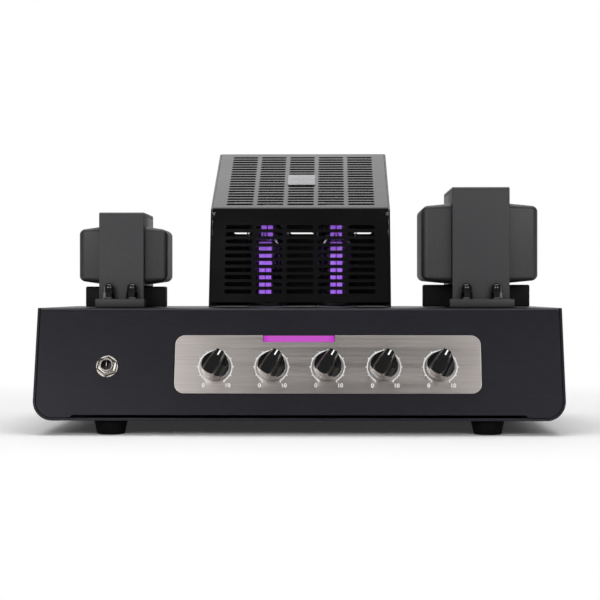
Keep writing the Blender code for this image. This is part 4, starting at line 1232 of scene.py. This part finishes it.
def transformer_pieces(unit, made, rounding):
    """Adds the strap with feet and nuts, core, bells and shroud of one transformer."""
    name = unit["name"]
    spot = top_matrix(unit["x"], unit["front"])
    half = unit["stack"] / 2
    depth = unit["depth"]
    middle = depth / 2
    overlap = 1.2 * MM

    def add(label, shape, finish, stands_for=()):
        add_piece(f"{name}_{label}", placed(shape, spot), made[finish], stands_for)

    foot_half = half + unit["flange_extra"]
    feet = [box((-foot_half, low, GAP), (foot_half, high, GAP + FLANGE_HEIGHT), 0.5 * MM)
            for low, high in ((-FLANGE_LENGTH, overlap), (depth - overlap, depth + FLANGE_LENGTH))]
    add("strap_skin", together(strap_shape(unit), *feet), "iron", [f"{name}_strap"])
    nuts = [placed(cap_nut_shape(), Matrix.Translation((side * unit["nuts"] / 2, y, 0)))
            for side in (-1, 1) for y in (-FLANGE_LENGTH / 2, depth + FLANGE_LENGTH / 2)]
    add("cap_nuts", together(*nuts), "nut")
    add("core_skin", core_shape(unit), "iron", [f"{name}_core"])
    width = depth - 2 * BELL_BORDER
    height = unit["bell_high"] - unit["bell_low"]
    bell = bell_shape(width, height, unit["bell"], rounding, BELL_TAPER)
    centre = Matrix.Translation((0, middle, (unit["bell_low"] + unit["bell_high"]) / 2))
    for side, label in ((-1, "left"), (1, "right")):
        face = Matrix.Translation((side * (half + GAP), 0, 0)) @ Matrix.Rotation(side * pi / 2, 4, "Y")
        turn = face @ Matrix.Rotation(pi / 2, 4, "Z")
        add(f"bell_{label}_skin", placed(bell, centre @ turn), "iron",
            [f"{name}_bell_{label}"])
    shroud_half = unit["shroud"] / 2
    shroud = box((-shroud_half, middle - SHROUD_DEPTH / 2, GAP),
                 (shroud_half, middle + SHROUD_DEPTH / 2, unit["shroud_height"]), 1.2 * MM, 5)
    add("shroud_skin", shroud, "dark", [f"{name}_shroud"])


class AMPLIFIER_OT_transformers(bpy.types.Operator):
    """Builds both transformers"""
    bl_idname = "amplifier.transformers"
    bl_label = "Transformers"

    def execute(self, context):
        made = finishes(context.scene.amplifier_colours)
        for unit in (OUTPUT, MAINS):
            transformer_pieces(unit, made, context.scene.amplifier_sizes.bell_round)
        return {"FINISHED"}


# Cage

def cage_path():
    """Corners of the cage's front screen, sloped top and back lip, in Y and Z above the chassis top."""
    bend = np.array([CAGE_FRONT_Y + CAGE_BEND_HEIGHT * tan(PANEL_TILT), CAGE_BEND_HEIGHT])
    foot = np.array([CAGE_FRONT_Y + CAGE_SKIRT_GAP * tan(PANEL_TILT), CAGE_SKIRT_GAP])
    back = np.array([CAGE_BACK_Y, CAGE_BACK_HEIGHT])
    lip = back - (0, CAGE_LIP)
    return foot, bend, back, lip


def slot_cells():
    """Lines between the columns of slots, about the middle of a sheet."""
    return SLOT_PITCH_ACROSS * (np.arange(SLOT_COLUMNS + 1) - SLOT_COLUMNS / 2)


def screen_lines(half):
    """Lines across the screens: the sheet's edges, the notch beside each edge and the slot columns."""
    return np.concatenate([[-half, -half + CAGE_RELIEF], slot_cells(), [half - CAGE_RELIEF, half]])


def screen_shape(sizes):
    """Front screen and sloped top as one bent, slotted sheet.

    The sheet lies on lines across and along. Along, the lines are the middles between slot rows, the ends
    of the small relief notches, and a close row of lines round each bend.
    """
    foot, bend, back, lip = cage_path()
    points, length = bent_path([foot, bend, back, lip], [CAGE_BEND, CAGE_BACK_BEND], BEND_STEPS)
    front_start = -CAGE_SKIRT_GAP / cos(PANEL_TILT)
    bend_at = np.linalg.norm(bend - foot)
    cut_back = bend_at - length[2]
    front = front_start + FRONT_FIRST + FRONT_PITCH * (np.arange(FRONT_ROWS + 1) - 0.5)
    slope_zero = length[2 + BEND_STEPS] - cut_back
    slope = slope_zero + SLOPE_FIRST + SLOPE_PITCH * (np.arange(SLOPE_ROWS + 1) - 0.5)
    notch = front_start + np.array(CAGE_RELIEF_SPAN)
    along = np.concatenate([[0], front, notch, length[1:-1], slope, [length[-1]]])
    along = np.unique(np.round(along, 7))
    across = screen_lines(SCREEN_HALF)
    margin = 2 * MM
    slots = []
    for row in range(FRONT_ROWS + SLOPE_ROWS):
        start = front[row] if row < FRONT_ROWS else slope[row - FRONT_ROWS]
        j = int(np.argmin(np.abs(along - start)))
        from_bend = start - slope_zero + SLOPE_PITCH / 2
        behind_badge = row >= FRONT_ROWS and BADGE_START - margin < from_bend < BADGE_END + margin
        for column in range(SLOT_COLUMNS):
            if not (behind_badge and column == SLOT_COLUMNS // 2):
                slots.append((column + 2, j))
    middle = (along[:-1] + along[1:]) / 2
    relief = [int(j) for j in np.nonzero((middle > notch[0]) & (middle < notch[1]))[0]]
    missing = [(i, j) for j in relief for i in (0, len(across) - 2)]

    def mapping(u, v, depth):
        at, normal = path_frame(points, length, v)
        flat = at - normal * depth[:, None]
        return np.column_stack([u, EDGE_Y + flat[:, 0], TOP_Z + flat[:, 1]])

    outline = slot_outline(sizes.slot_length, sizes.slot_height)
    return pierced_sheet(across, along, CAGE_SHEET, mapping, slots, outline, missing)


def cage_side_top(y):
    """Height of the cage's sides at a depth: under the slanted front edge, then under the slope."""
    _, bend, back, _ = cage_path()
    rise = (back[1] - bend[1]) / (back[0] - bend[0])
    front = (y - CAGE_FRONT_Y - GAP / cos(PANEL_TILT)) / tan(PANEL_TILT)
    slope = bend[1] + (y - bend[0]) * rise - GAP * np.sqrt(1 + rise ** 2)
    return np.minimum(np.minimum(front, slope), CAGE_SIDE_HEIGHT)


def cage_body_shape(sizes):
    """Sides and slotted back as one sheet on a U path, each line scaled to the height it has there."""
    front = CAGE_FRONT_Y + GAP / cos(PANEL_TILT) + GAP * tan(PANEL_TILT)
    points, length = bent_path([(-CAGE_HALF, front), (-CAGE_HALF, CAGE_BACK_Y), (CAGE_HALF, CAGE_BACK_Y),
                                (CAGE_HALF, front)], [CAGE_BEND, CAGE_BEND], BEND_STEPS)
    _, bend, _, _ = cage_path()
    side = np.array([0, 0.3, 0.7, 1]) * (bend[0] - front)
    ends = np.concatenate([side, [(side[-1] + length[1]) / 2]])
    middle = length[-1] / 2
    cells = middle + slot_cells()
    lip = middle + np.array([-1, 1]) * (SCREEN_HALF + GAP)
    across = np.unique(np.round(np.concatenate([ends, length[1:-1], cells, lip, length[-1] - ends]), 7))
    rows = BACK_FIRST + BACK_PITCH * (np.arange(BACK_ROWS + 1) - 0.5)
    lip_low = CAGE_BACK_HEIGHT - CAGE_LIP - GAP
    along = np.concatenate([[GAP, 30 * MM], rows, [lip_low, CAGE_BACK_HEIGHT]])
    first = int(np.argmin(np.abs(across - cells[0])))
    slots = [(first + column, 2 + row) for column in range(SLOT_COLUMNS) for row in range(BACK_ROWS)]
    open_columns = np.nonzero((across[:-1] >= lip[0] - 1e-6) & (across[1:] <= lip[1] + 1e-6))[0]
    missing = [(int(i), len(along) - 2) for i in open_columns]

    def mapping(u, v, depth):
        at, normal = path_frame(points, length, u)
        flat = at - normal * depth[:, None]
        share = (v - GAP) / (CAGE_BACK_HEIGHT - GAP)
        z = GAP + share * np.clip(cage_side_top(at[:, 1]) - GAP, 0, None)
        return np.column_stack([flat[:, 0], EDGE_Y + flat[:, 1], TOP_Z + z])

    outline = slot_outline(sizes.slot_length, sizes.slot_height)
    return pierced_sheet(across, along, CAGE_SHEET, mapping, slots, outline, missing)


def slope_matrix(x, up):
    """Frame on the cage's sloped top: X right, Y up the slope from the bend and Z out of it."""
    _, bend, back, _ = cage_path()
    angle = np.arctan2(back[1] - bend[1], back[0] - bend[0])
    corner = Matrix.Translation((x, EDGE_Y + bend[0], TOP_Z + bend[1]))
    return corner @ Matrix.Rotation(angle, 4, "X") @ Matrix.Translation((0, up, 0))


class AMPLIFIER_OT_cage(bpy.types.Operator):
    """Builds the slotted valve cage and its bare badge"""
    bl_idname = "amplifier.cage"
    bl_label = "Cage"

    def execute(self, context):
        made = finishes(context.scene.amplifier_colours)
        sizes = context.scene.amplifier_sizes
        add_piece("cage_screens", screen_shape(sizes), made["cage"],
                  ["cage_front", "cage_top"], sharp=40)
        add_piece("cage_sides", cage_body_shape(sizes), made["cage"], ["cage_body"], sharp=40)
        outline = rounded_rectangle(sizes.badge, BADGE_END - BADGE_START, 0.8 * MM)
        badge = block(outline, soft_edges(0.02 * MM, 0.7 * MM, 0.2 * MM))
        spot = slope_matrix(0, (BADGE_START + BADGE_END) / 2)
        add_piece("cage_badge", placed(badge, spot), made["badge"])
        return {"FINISHED"}


# Valves

def glass_shape(radius, low, shoulder, top, segments):
    """Sealed envelope: a tube with a domed end and a small tip, as an outer and an inner surface."""
    tip = 2.0 * MM
    foot = 2.0 * MM
    crown = top - 4 * MM
    turns = np.linspace(0, pi / 2, 17)

    def line(inset):
        reach = radius - inset
        base = low + inset
        end = top - inset
        bulge = np.column_stack([tip + (reach - tip) * np.cos(turns),
                                 shoulder + (crown - shoulder - inset) * np.sin(turns)])
        point = [(tip - inset, crown - inset + 0.5 * MM), (0.8 * MM, end - 0.4 * MM), (0, end)]
        return np.concatenate([[(0, base), (reach - foot, base), (reach, base + foot)], bulge, point])
    return together(turned(line(0), segments), turned(line(GLASS_WALL), segments))


def disc(radius, low, high, segments=40):
    """Thin round spacer with soft edges."""
    return block(circle(radius, segments), soft_edges(low, high, 0.1 * MM, 2, 0.2 * MM))


def rod(x, y, radius, low, high):
    """Upright rod at a place."""
    points, groups = hole(radius, low, high, 12)
    return points + (x, y, 0), groups


def corner_rods(x, y, radius, low, high):
    """Four rods at the corners of a rectangle."""
    return [rod(i * x, j * y, radius, low, high) for i in (-1, 1) for j in (-1, 1)]


def getter_ring(radius, wire, height):
    """Ring of wire above an electrode stack."""
    ring = turned(arc((radius, 0), wire, 0, 2 * pi, 8)[:-1], 24, closed=True)
    return placed(ring, Matrix.Translation((0, 0, height)))


def preamp_electrodes():
    """Twin anodes, and the two spacers, rods and getter ring that go with them."""
    anodes = [box((x - 2.0 * MM, -3.4 * MM, 5.6 * MM), (x + 2.0 * MM, 3.4 * MM, 48.6 * MM), 0.6 * MM)
              for x in (-2.4 * MM, 2.4 * MM)]
    spacers = [disc(8.6 * MM, 4.4 * MM, 5.2 * MM), disc(6.8 * MM, 49 * MM, 49.6 * MM)]
    rods = corner_rods(5.6 * MM, 2.6 * MM, 0.4 * MM, 4.2 * MM, 49.4 * MM)
    getter = getter_ring(3 * MM, 0.5 * MM, 50.6 * MM)
    return together(*anodes), together(*spacers, *rods, getter)


def power_electrodes():
    """Two thin strips of painted light on the anode's face, and the winged anode box, spacers, rods and
    getter ring that go with them.
    """
    # Painted light: thin strips on the anode face that are given the violet lamp light as emission.
    slots = [box((x - 2.0 * MM, -6.1 * MM, 30 * MM), (x + 2.0 * MM, -5.3 * MM, 65 * MM), 0.2 * MM)
             for x in (-2.4 * MM, 2.4 * MM)]
    anode = box((-9 * MM, -5.5 * MM, 28 * MM), (9 * MM, 5.5 * MM, 66 * MM), 1.4 * MM)
    wings = [box((x - 3 * MM, -0.4 * MM, 29 * MM), (x + 3 * MM, 0.4 * MM, 65 * MM), 0.2 * MM)
             for x in (-11 * MM, 11 * MM)]
    spacers = [disc(13.6 * MM, 26.2 * MM, 27.2 * MM), disc(13.6 * MM, 67 * MM, 68 * MM)]
    rods = corner_rods(11.5 * MM, 4 * MM, 0.7 * MM, 22 * MM, 71 * MM)
    getter = getter_ring(5 * MM, 0.7 * MM, 73 * MM)
    return together(*slots), together(anode, *wings, *spacers, *rods, getter)


def socket_shape(radius, flange, depth):
    """Round valve socket in its hole, with a flange below the sheet and a well in its top."""
    rim = 0.5 * MM
    edge = 0.3 * MM
    well = radius - 2.4 * MM
    floor = -0.4 * MM
    flange_low = -4.5 * MM
    flange_high = -2 * MM
    outside = [(0, -depth), (radius, -depth), (radius, flange_low), (flange, flange_low),
               (flange, flange_high), (radius, flange_high), (radius, rim - edge), (radius - edge, rim)]
    inside = [(well + edge, rim), (well, rim - edge), (well, floor), (0, floor)]
    return turned(outside + inside, 56)


def power_base():
    """Round base of a power valve with a wider collar at its top."""
    return turned(MM * np.array([(0, 0.8), (14, 0.8), (14.6, 1.4), (14.6, 17), (16, 18.5), (16, 19.7),
                                 (15.7, 20), (0, 20)]), 64)


def loose_islands(bm):
    """Faces of a mesh grouped by connection."""
    left = set(bm.faces)
    islands = []
    while left:
        front = [left.pop()]
        found = list(front)
        while front:
            near = {f for e in front.pop().edges for f in e.link_faces if f in left}
            left -= near
            front.extend(near)
            found.extend(near)
        islands.append(found)
    return islands


def face_cavity(envelope, spot):
    """Turns the faces of the inner surface, the narrower of the two, towards the hollow."""
    local = spot.inverted()
    bm = bmesh.new()
    bm.from_mesh(envelope.data)
    islands = loose_islands(bm)
    islands.sort(key=lambda faces: max((local @ v.co).xy.length for f in faces for v in f.verts))
    bmesh.ops.reverse_faces(bm, faces=islands[0])
    bm.to_mesh(envelope.data)
    bm.free()


def valve_pieces(name, spot, made, glass, electrodes, lit, socket, base=None):
    """Adds the envelope, the electrode stack, the base if it has one and the socket of one valve."""
    envelope = add_piece(f"{name}_envelope", placed(glass, spot), made["glass"],
                         [f"{name}_glass"], sharp=60)
    face_cavity(envelope, spot)
    anodes, carriers = electrodes
    add_piece(f"{name}_stack", placed(anodes, spot), lit, [f"{name}_electrodes"])
    add_piece(f"{name}_carriers", placed(carriers, spot), made["steel"])
    if base:
        add_piece(f"{name}_base_skin", placed(base, spot), made["plastic"])
    add_piece(f"{name}_socket_skin", placed(socket, spot), made["ceramic"], [f"{name}_socket"])


class AMPLIFIER_OT_valves(bpy.types.Operator):
    """Builds the two small and the two power valves with their sockets"""
    bl_idname = "amplifier.valves"
    bl_label = "Valves"

    def execute(self, context):
        colours = context.scene.amplifier_colours
        made = finishes(colours)
        glow = tuple(colours.glow)
        # Both kinds of anode carry painted light: emission that stands for the violet lamp light falling on
        # them.
        small = dict(
            glass=glass_shape(10.5 * MM, 3 * MM, 45 * MM, 57 * MM, 64), electrodes=preamp_electrodes(),
            lit=painted_light_metal("lit_anodes", (0.12, 0.12, 0.13), glow, 0.76, TOP_Z, TOP_Z + 50 * MM),
            socket=socket_shape(13.1 * MM, 15 * MM, 20 * MM))
        large = dict(
            glass=glass_shape(16.2 * MM, 20.4 * MM, 64 * MM, 87 * MM, 72), electrodes=power_electrodes(),
            lit=painted_light_metal("lit_power_anodes", (0.14, 0.14, 0.15), glow, 0.6, TOP_Z + 20 * MM,
                          TOP_Z + 75 * MM),
            socket=socket_shape(16.6 * MM, 19 * MM, 20 * MM), base=power_base())
        for number, x in ((1, -VALVE_X), (2, VALVE_X)):
            valve_pieces(f"preamp_valve_{number}", top_matrix(x, PREAMP_Y), made, **small)
            valve_pieces(f"power_valve_{number}", top_matrix(x, POWER_Y), made, **large)
        return {"FINISHED"}


# Rear fittings

def screw_shape(radius, height):
    """Low round screw head: a short wall under a shallow dome."""
    dome = 1.6 * radius
    half_angle = 0.6
    crown = arc((0, height - dome), dome, pi / 2 - half_angle, pi / 2, 5)
    return turned(np.concatenate([[(0, 0), (radius, 0), (radius, crown[0][1])], crown[1:]]), 24)


def screw_heads(spot, places, radius, height, face):
    """Screw heads at some places on a flange, sunk a little into its face."""
    sunk = 0.1 * MM
    return [placed(screw_shape(radius, height), spot @ Matrix.Translation((x, y, face - sunk)))
            for x, y in places]


def flange_shape(width, height, radius, face, bevel):
    """Flange on the rear panel with round corners and soft edges."""
    return block(rounded_rectangle(width, height, radius), soft_edges(GAP, face, bevel))


def rear_fitting(name, node, spot, flange, body, well, finish):
    """Adds a fitting: a flange joined to the body behind it, with a well cut into both."""
    made = add_piece(name, placed(flange, spot), finish, [node])
    join(made, placed(body, spot))
    carve(made, placed(well, spot))


def inlet_pieces(made):
    """Adds the mains inlet with its three blades, and returns its screws."""
    spot = rear_matrix(INLET_X)
    width, height = INLET_BODY
    wall = 3.2 * MM
    face = 3.3 * MM
    flange = flange_shape(50 * MM, 23 * MM, 4 * MM, face, 0.6 * MM)
    body = prism(rounded_rectangle(width, height, 1 * MM), -20 * MM, 1 * MM)
    mouth = prism(rounded_rectangle(width - wall, height - wall, 2.5 * MM), -15 * MM, 6 * MM)
    rear_fitting("inlet_shell", "mains_inlet", spot, flange, body, mouth, made["plastic"])
    blades = [box((x - 1 * MM, y - 3 * MM, -15.5 * MM), (x + 1 * MM, y + 3 * MM, -5 * MM), 0.3 * MM)
              for x, y in ((-7 * MM, -2.5 * MM), (0, 2.5 * MM), (7 * MM, -2.5 * MM))]
    add_piece("inlet_pins", placed(together(*blades), spot), made["nickel"])
    return screw_heads(spot, ((-20 * MM, 0), (20 * MM, 0)), 2.7 * MM, 1.2 * MM, face)


def line_pieces(made):
    """Adds the line output with its three pins, and returns its screws."""
    spot = rear_matrix(LINE_X)
    face = 2.3 * MM
    flange = flange_shape(26 * MM, 31 * MM, 3 * MM, face, 0.5 * MM)
    body = hole(LINE_RADIUS, -18 * MM, 1 * MM)
    mouth = hole(LINE_RADIUS - 2.2 * MM, -13 * MM, 4 * MM)
    rear_fitting("line_shell", "line_output", spot, flange, body, mouth, made["plastic"])
    places = arc((0, 0), 4.2 * MM, -pi / 2, -pi / 2 + 4 / 3 * pi, 2)
    pins = [rod(x, y, 1.2 * MM, -13.5 * MM, -4 * MM) for x, y in places]
    add_piece("line_pins", placed(together(*pins), spot), made["nickel"])
    return screw_heads(spot, ((-9.5 * MM, 12 * MM), (9.5 * MM, -12 * MM)), 2.2 * MM, 1.0 * MM, face)


def rocker_shape():
    """Rocker: a hollowed top between two raised ends, as a side outline swept across."""
    half = 4.7 * MM
    edge = 0.3 * MM
    reach = 7.5 * MM
    y = np.linspace(reach, -reach, 25)
    top = np.column_stack([y, 2.2 * MM + 1.6 * MM * (y / reach) ** 2])
    outline = np.concatenate([[(-reach, -2.2 * MM), (reach, -2.2 * MM)], top])
    tight = outline * (1 - edge / (4 * MM))
    rows = [(-half, tight), (-half + edge, outline), (half - edge, outline), (half, tight)]
    return skin(np.stack([np.column_stack([np.full(len(flat), x), flat]) for x, flat in rows]))


def switch_pieces(made):
    """Adds the power switch and the rocker that tilts in its well."""
    spot = rear_matrix(SWITCH_X)
    width, height = SWITCH_BODY
    rim = 3 * MM
    bezel = flange_shape(width + rim, height + rim, 1.5 * MM, 2.1 * MM, 0.5 * MM)
    body = prism(rounded_rectangle(width, height, 0.5 * MM), -16 * MM, 1 * MM)
    well = prism(rounded_rectangle(10.2 * MM, 17.2 * MM, 0.5 * MM), -9 * MM, 4 * MM)
    rear_fitting("switch_shell", "power_switch", spot, bezel, body, well, made["plastic"])
    sunk = 0.5 * MM
    lean = radians(12)
    tilt = spot @ Matrix.Translation((0, 0, -sunk)) @ Matrix.Rotation(-lean, 4, "X")
    add_piece("rocker_skin", placed(rocker_shape(), tilt), made["plastic"],
              ["power_rocker"], ROCKER_JOINT["child"])


def speaker_pieces(made):
    """Adds the two speaker sockets, their nuts turned differently."""
    for number, x in enumerate(SPEAKER_X, 1):
        metal, housing = jack_shape(radians(10 + 25 * number))
        spot = rear_matrix(x)
        add_piece(f"speaker_socket_{number}", placed(metal, spot), made["nickel"],
                  [f"speaker_jack_{number}"])
        add_piece(f"speaker_housing_{number}", placed(housing, spot), made["plastic"])


class AMPLIFIER_OT_rear(bpy.types.Operator):
    """Builds the mains inlet, the switch and the sockets of the rear panel"""
    bl_idname = "amplifier.rear"
    bl_label = "Rear fittings"

    def execute(self, context):
        made = finishes(context.scene.amplifier_colours)
        screws = inlet_pieces(made) + line_pieces(made)
        switch_pieces(made)
        speaker_pieces(made)
        add_piece("rear_screws", together(*screws), made["nickel"])
        return {"FINISHED"}


class AMPLIFIER_OT_inside(bpy.types.Operator):
    """Gives the inner CAD pieces their finishes"""
    bl_idname = "amplifier.inside"
    bl_label = "Inner pieces"

    def execute(self, context):
        made = finishes(context.scene.amplifier_colours)
        parts = {"board": ["control_board", "main_board"], "wrap": ["output_coil", "mains_coil"]}
        parts["nickel"] = [f"{kind}_{number}" for kind in ("pot", "shaft") for number in range(1, 6)]
        for finish, nodes in parts.items():
            for node in nodes:
                materials = frame["nodes"][node].data.materials
                materials.clear()
                materials.append(made[finish])
        return {"FINISHED"}


# Studio

def sweep_shape():
    """Floor that turns up into a backdrop: one line of points swept across."""
    columns = 3
    bend = arc((FLOOR_BACK - BACKDROP_BEND, BACKDROP_BEND), BACKDROP_BEND, -pi / 2, 0, 24)
    line = np.concatenate([[(FLOOR_FRONT, 0)], bend, [(FLOOR_BACK, BACKDROP_HEIGHT)]])
    rows = np.stack([np.column_stack([np.full(len(line), x), line])
                     for x in np.linspace(-FLOOR_HALF, FLOOR_HALF, columns)])
    return rows.reshape(-1, 3), [grid_faces(columns, len(line))]


def backdrop_finish(colour):
    """White paper: camera, glossy and glass rays see it white by itself, apart from the object's shadow.

    The white takes over with the distance from the object, measured longer in depth than across.
    """
    near = 0.22
    far = 0.82
    least = 0.03
    made, tree, shader = new_finish("studio_paper", colour, 0.9, specular=0.1)
    glow = tree.nodes.new("ShaderNodeEmission")
    glow.inputs["Color"].default_value = (1, 1, 1, 1)
    glow.inputs["Strength"].default_value = 1.0
    path = tree.nodes.new("ShaderNodeLightPath")
    seen = maths(tree, "MAXIMUM", path.outputs["Is Camera Ray"], path.outputs["Is Glossy Ray"])
    seen = maths(tree, "MAXIMUM", seen, path.outputs["Is Transmission Ray"])
    distance = tree.nodes.new("ShaderNodeVectorMath")
    distance.operation = "LENGTH"
    tree.links.new(object_vector(tree, (1.0, 1.35, 1.0)), distance.inputs[0])
    share = spread(tree, distance.outputs["Value"], least, 1.0, near, far)
    mix = tree.nodes.new("ShaderNodeMixShader")
    tree.links.new(maths(tree, "MULTIPLY", seen, share), mix.inputs["Fac"])
    tree.links.new(shader.outputs["BSDF"], mix.inputs[1])
    tree.links.new(glow.outputs["Emission"], mix.inputs[2])
    tree.links.new(mix.outputs["Shader"], tree.nodes["Material Output"].inputs["Surface"])
    return made


def softbox(name, place, aim, width, height, power):
    """Rectangular area light that faces a point."""
    light = bpy.data.lights.new(name, "AREA")
    light.shape = "RECTANGLE"
    light.size = width
    light.size_y = height
    light.energy = power
    made = bpy.data.objects.new(name, light)
    bpy.context.scene.collection.objects.link(made)
    made.location = place
    made.rotation_euler = (Vector(aim) - Vector(place)).to_track_quat("-Z", "Y").to_euler()


def make_open_mesh(name, shape):
    """Mesh of an open surface whose faces look up and towards the front."""
    mesh = make_mesh(name, shape)
    if mesh.polygons[0].normal.z < 0:
        mesh.flip_normals()
    mesh.shade_smooth()
    return mesh


class AMPLIFIER_OT_stage(bpy.types.Operator):
    """Builds the floor, the softboxes and the camera"""
    bl_idname = "amplifier.stage"
    bl_label = "Stage"

    def execute(self, context):
        scene = context.scene
        settings = scene.amplifier_stage
        mesh = make_open_mesh("studio_floor", sweep_shape())
        mesh.materials.append(backdrop_finish(settings.floor))
        floor = bpy.data.objects.new("studio_floor", mesh)
        scene.collection.objects.link(floor)
        floor.location.z = -FLOOR_DROP
        floor.visible_shadow = False
        world = bpy.data.worlds.new("studio_air")
        world.use_nodes = True
        air = world.node_tree.nodes["Background"]
        air.inputs["Color"].default_value = (1, 1, 1, 1)
        air.inputs["Strength"].default_value = AIR_STRENGTH
        scene.world = world
        for name, (place, aim, width, height) in SOFTBOXES.items():
            softbox(f"{name}_softbox", place, aim, width, height, getattr(settings, name))
        lens = bpy.data.cameras.new("studio_camera")
        lens.lens = CAMERA_LENS
        lens.sensor_width = CAMERA_SENSOR
        camera = bpy.data.objects.new("studio_camera", lens)
        scene.collection.objects.link(camera)
        camera.location = CAMERA_PLACE
        camera.rotation_euler = CAMERA_TURN
        scene.camera = camera
        scene.view_settings.view_transform = "Standard"
        return {"FINISHED"}


OPERATORS = (AMPLIFIER_OT_chassis, AMPLIFIER_OT_feet, AMPLIFIER_OT_plate, AMPLIFIER_OT_light,
             AMPLIFIER_OT_dials, AMPLIFIER_OT_knobs, AMPLIFIER_OT_input, AMPLIFIER_OT_transformers,
             AMPLIFIER_OT_cage, AMPLIFIER_OT_valves, AMPLIFIER_OT_rear, AMPLIFIER_OT_inside,
             AMPLIFIER_OT_stage)


class AMPLIFIER_PT_panel(bpy.types.Panel):
    """Lists the steps that build the amplifier's finish"""
    bl_idname = "AMPLIFIER_PT_panel"
    bl_label = "Amplifier"
    bl_space_type = "VIEW_3D"
    bl_region_type = "UI"
    bl_category = "Amplifier"

    def draw(self, context):
        for operator in OPERATORS:
            self.layout.operator(operator.bl_idname)
        scene = context.scene
        for group in (scene.amplifier_sizes, scene.amplifier_colours, scene.amplifier_stage):
            for name in group.__annotations__:
                self.layout.prop(group, name)


CLASSES = (AmplifierSizes, AmplifierColours, StageSettings, *OPERATORS, AMPLIFIER_PT_panel)


def register():
    """Registers the classes and gives every scene the settings."""
    for item in CLASSES:
        bpy.utils.register_class(item)
    bpy.types.Scene.amplifier_sizes = PointerProperty(type=AmplifierSizes)
    bpy.types.Scene.amplifier_colours = PointerProperty(type=AmplifierColours)
    bpy.types.Scene.amplifier_stage = PointerProperty(type=StageSettings)


def unregister():
    """Takes the settings and the classes away again."""
    del bpy.types.Scene.amplifier_stage
    del bpy.types.Scene.amplifier_colours
    del bpy.types.Scene.amplifier_sizes
    for item in reversed(CLASSES):
        bpy.utils.unregister_class(item)


def main():
    """Runs every step in order."""
    register()
    for operator in OPERATORS:
        group, name = operator.bl_idname.split(".")
        getattr(getattr(bpy.ops, group), name)()


if __name__ == "__main__":
    main()
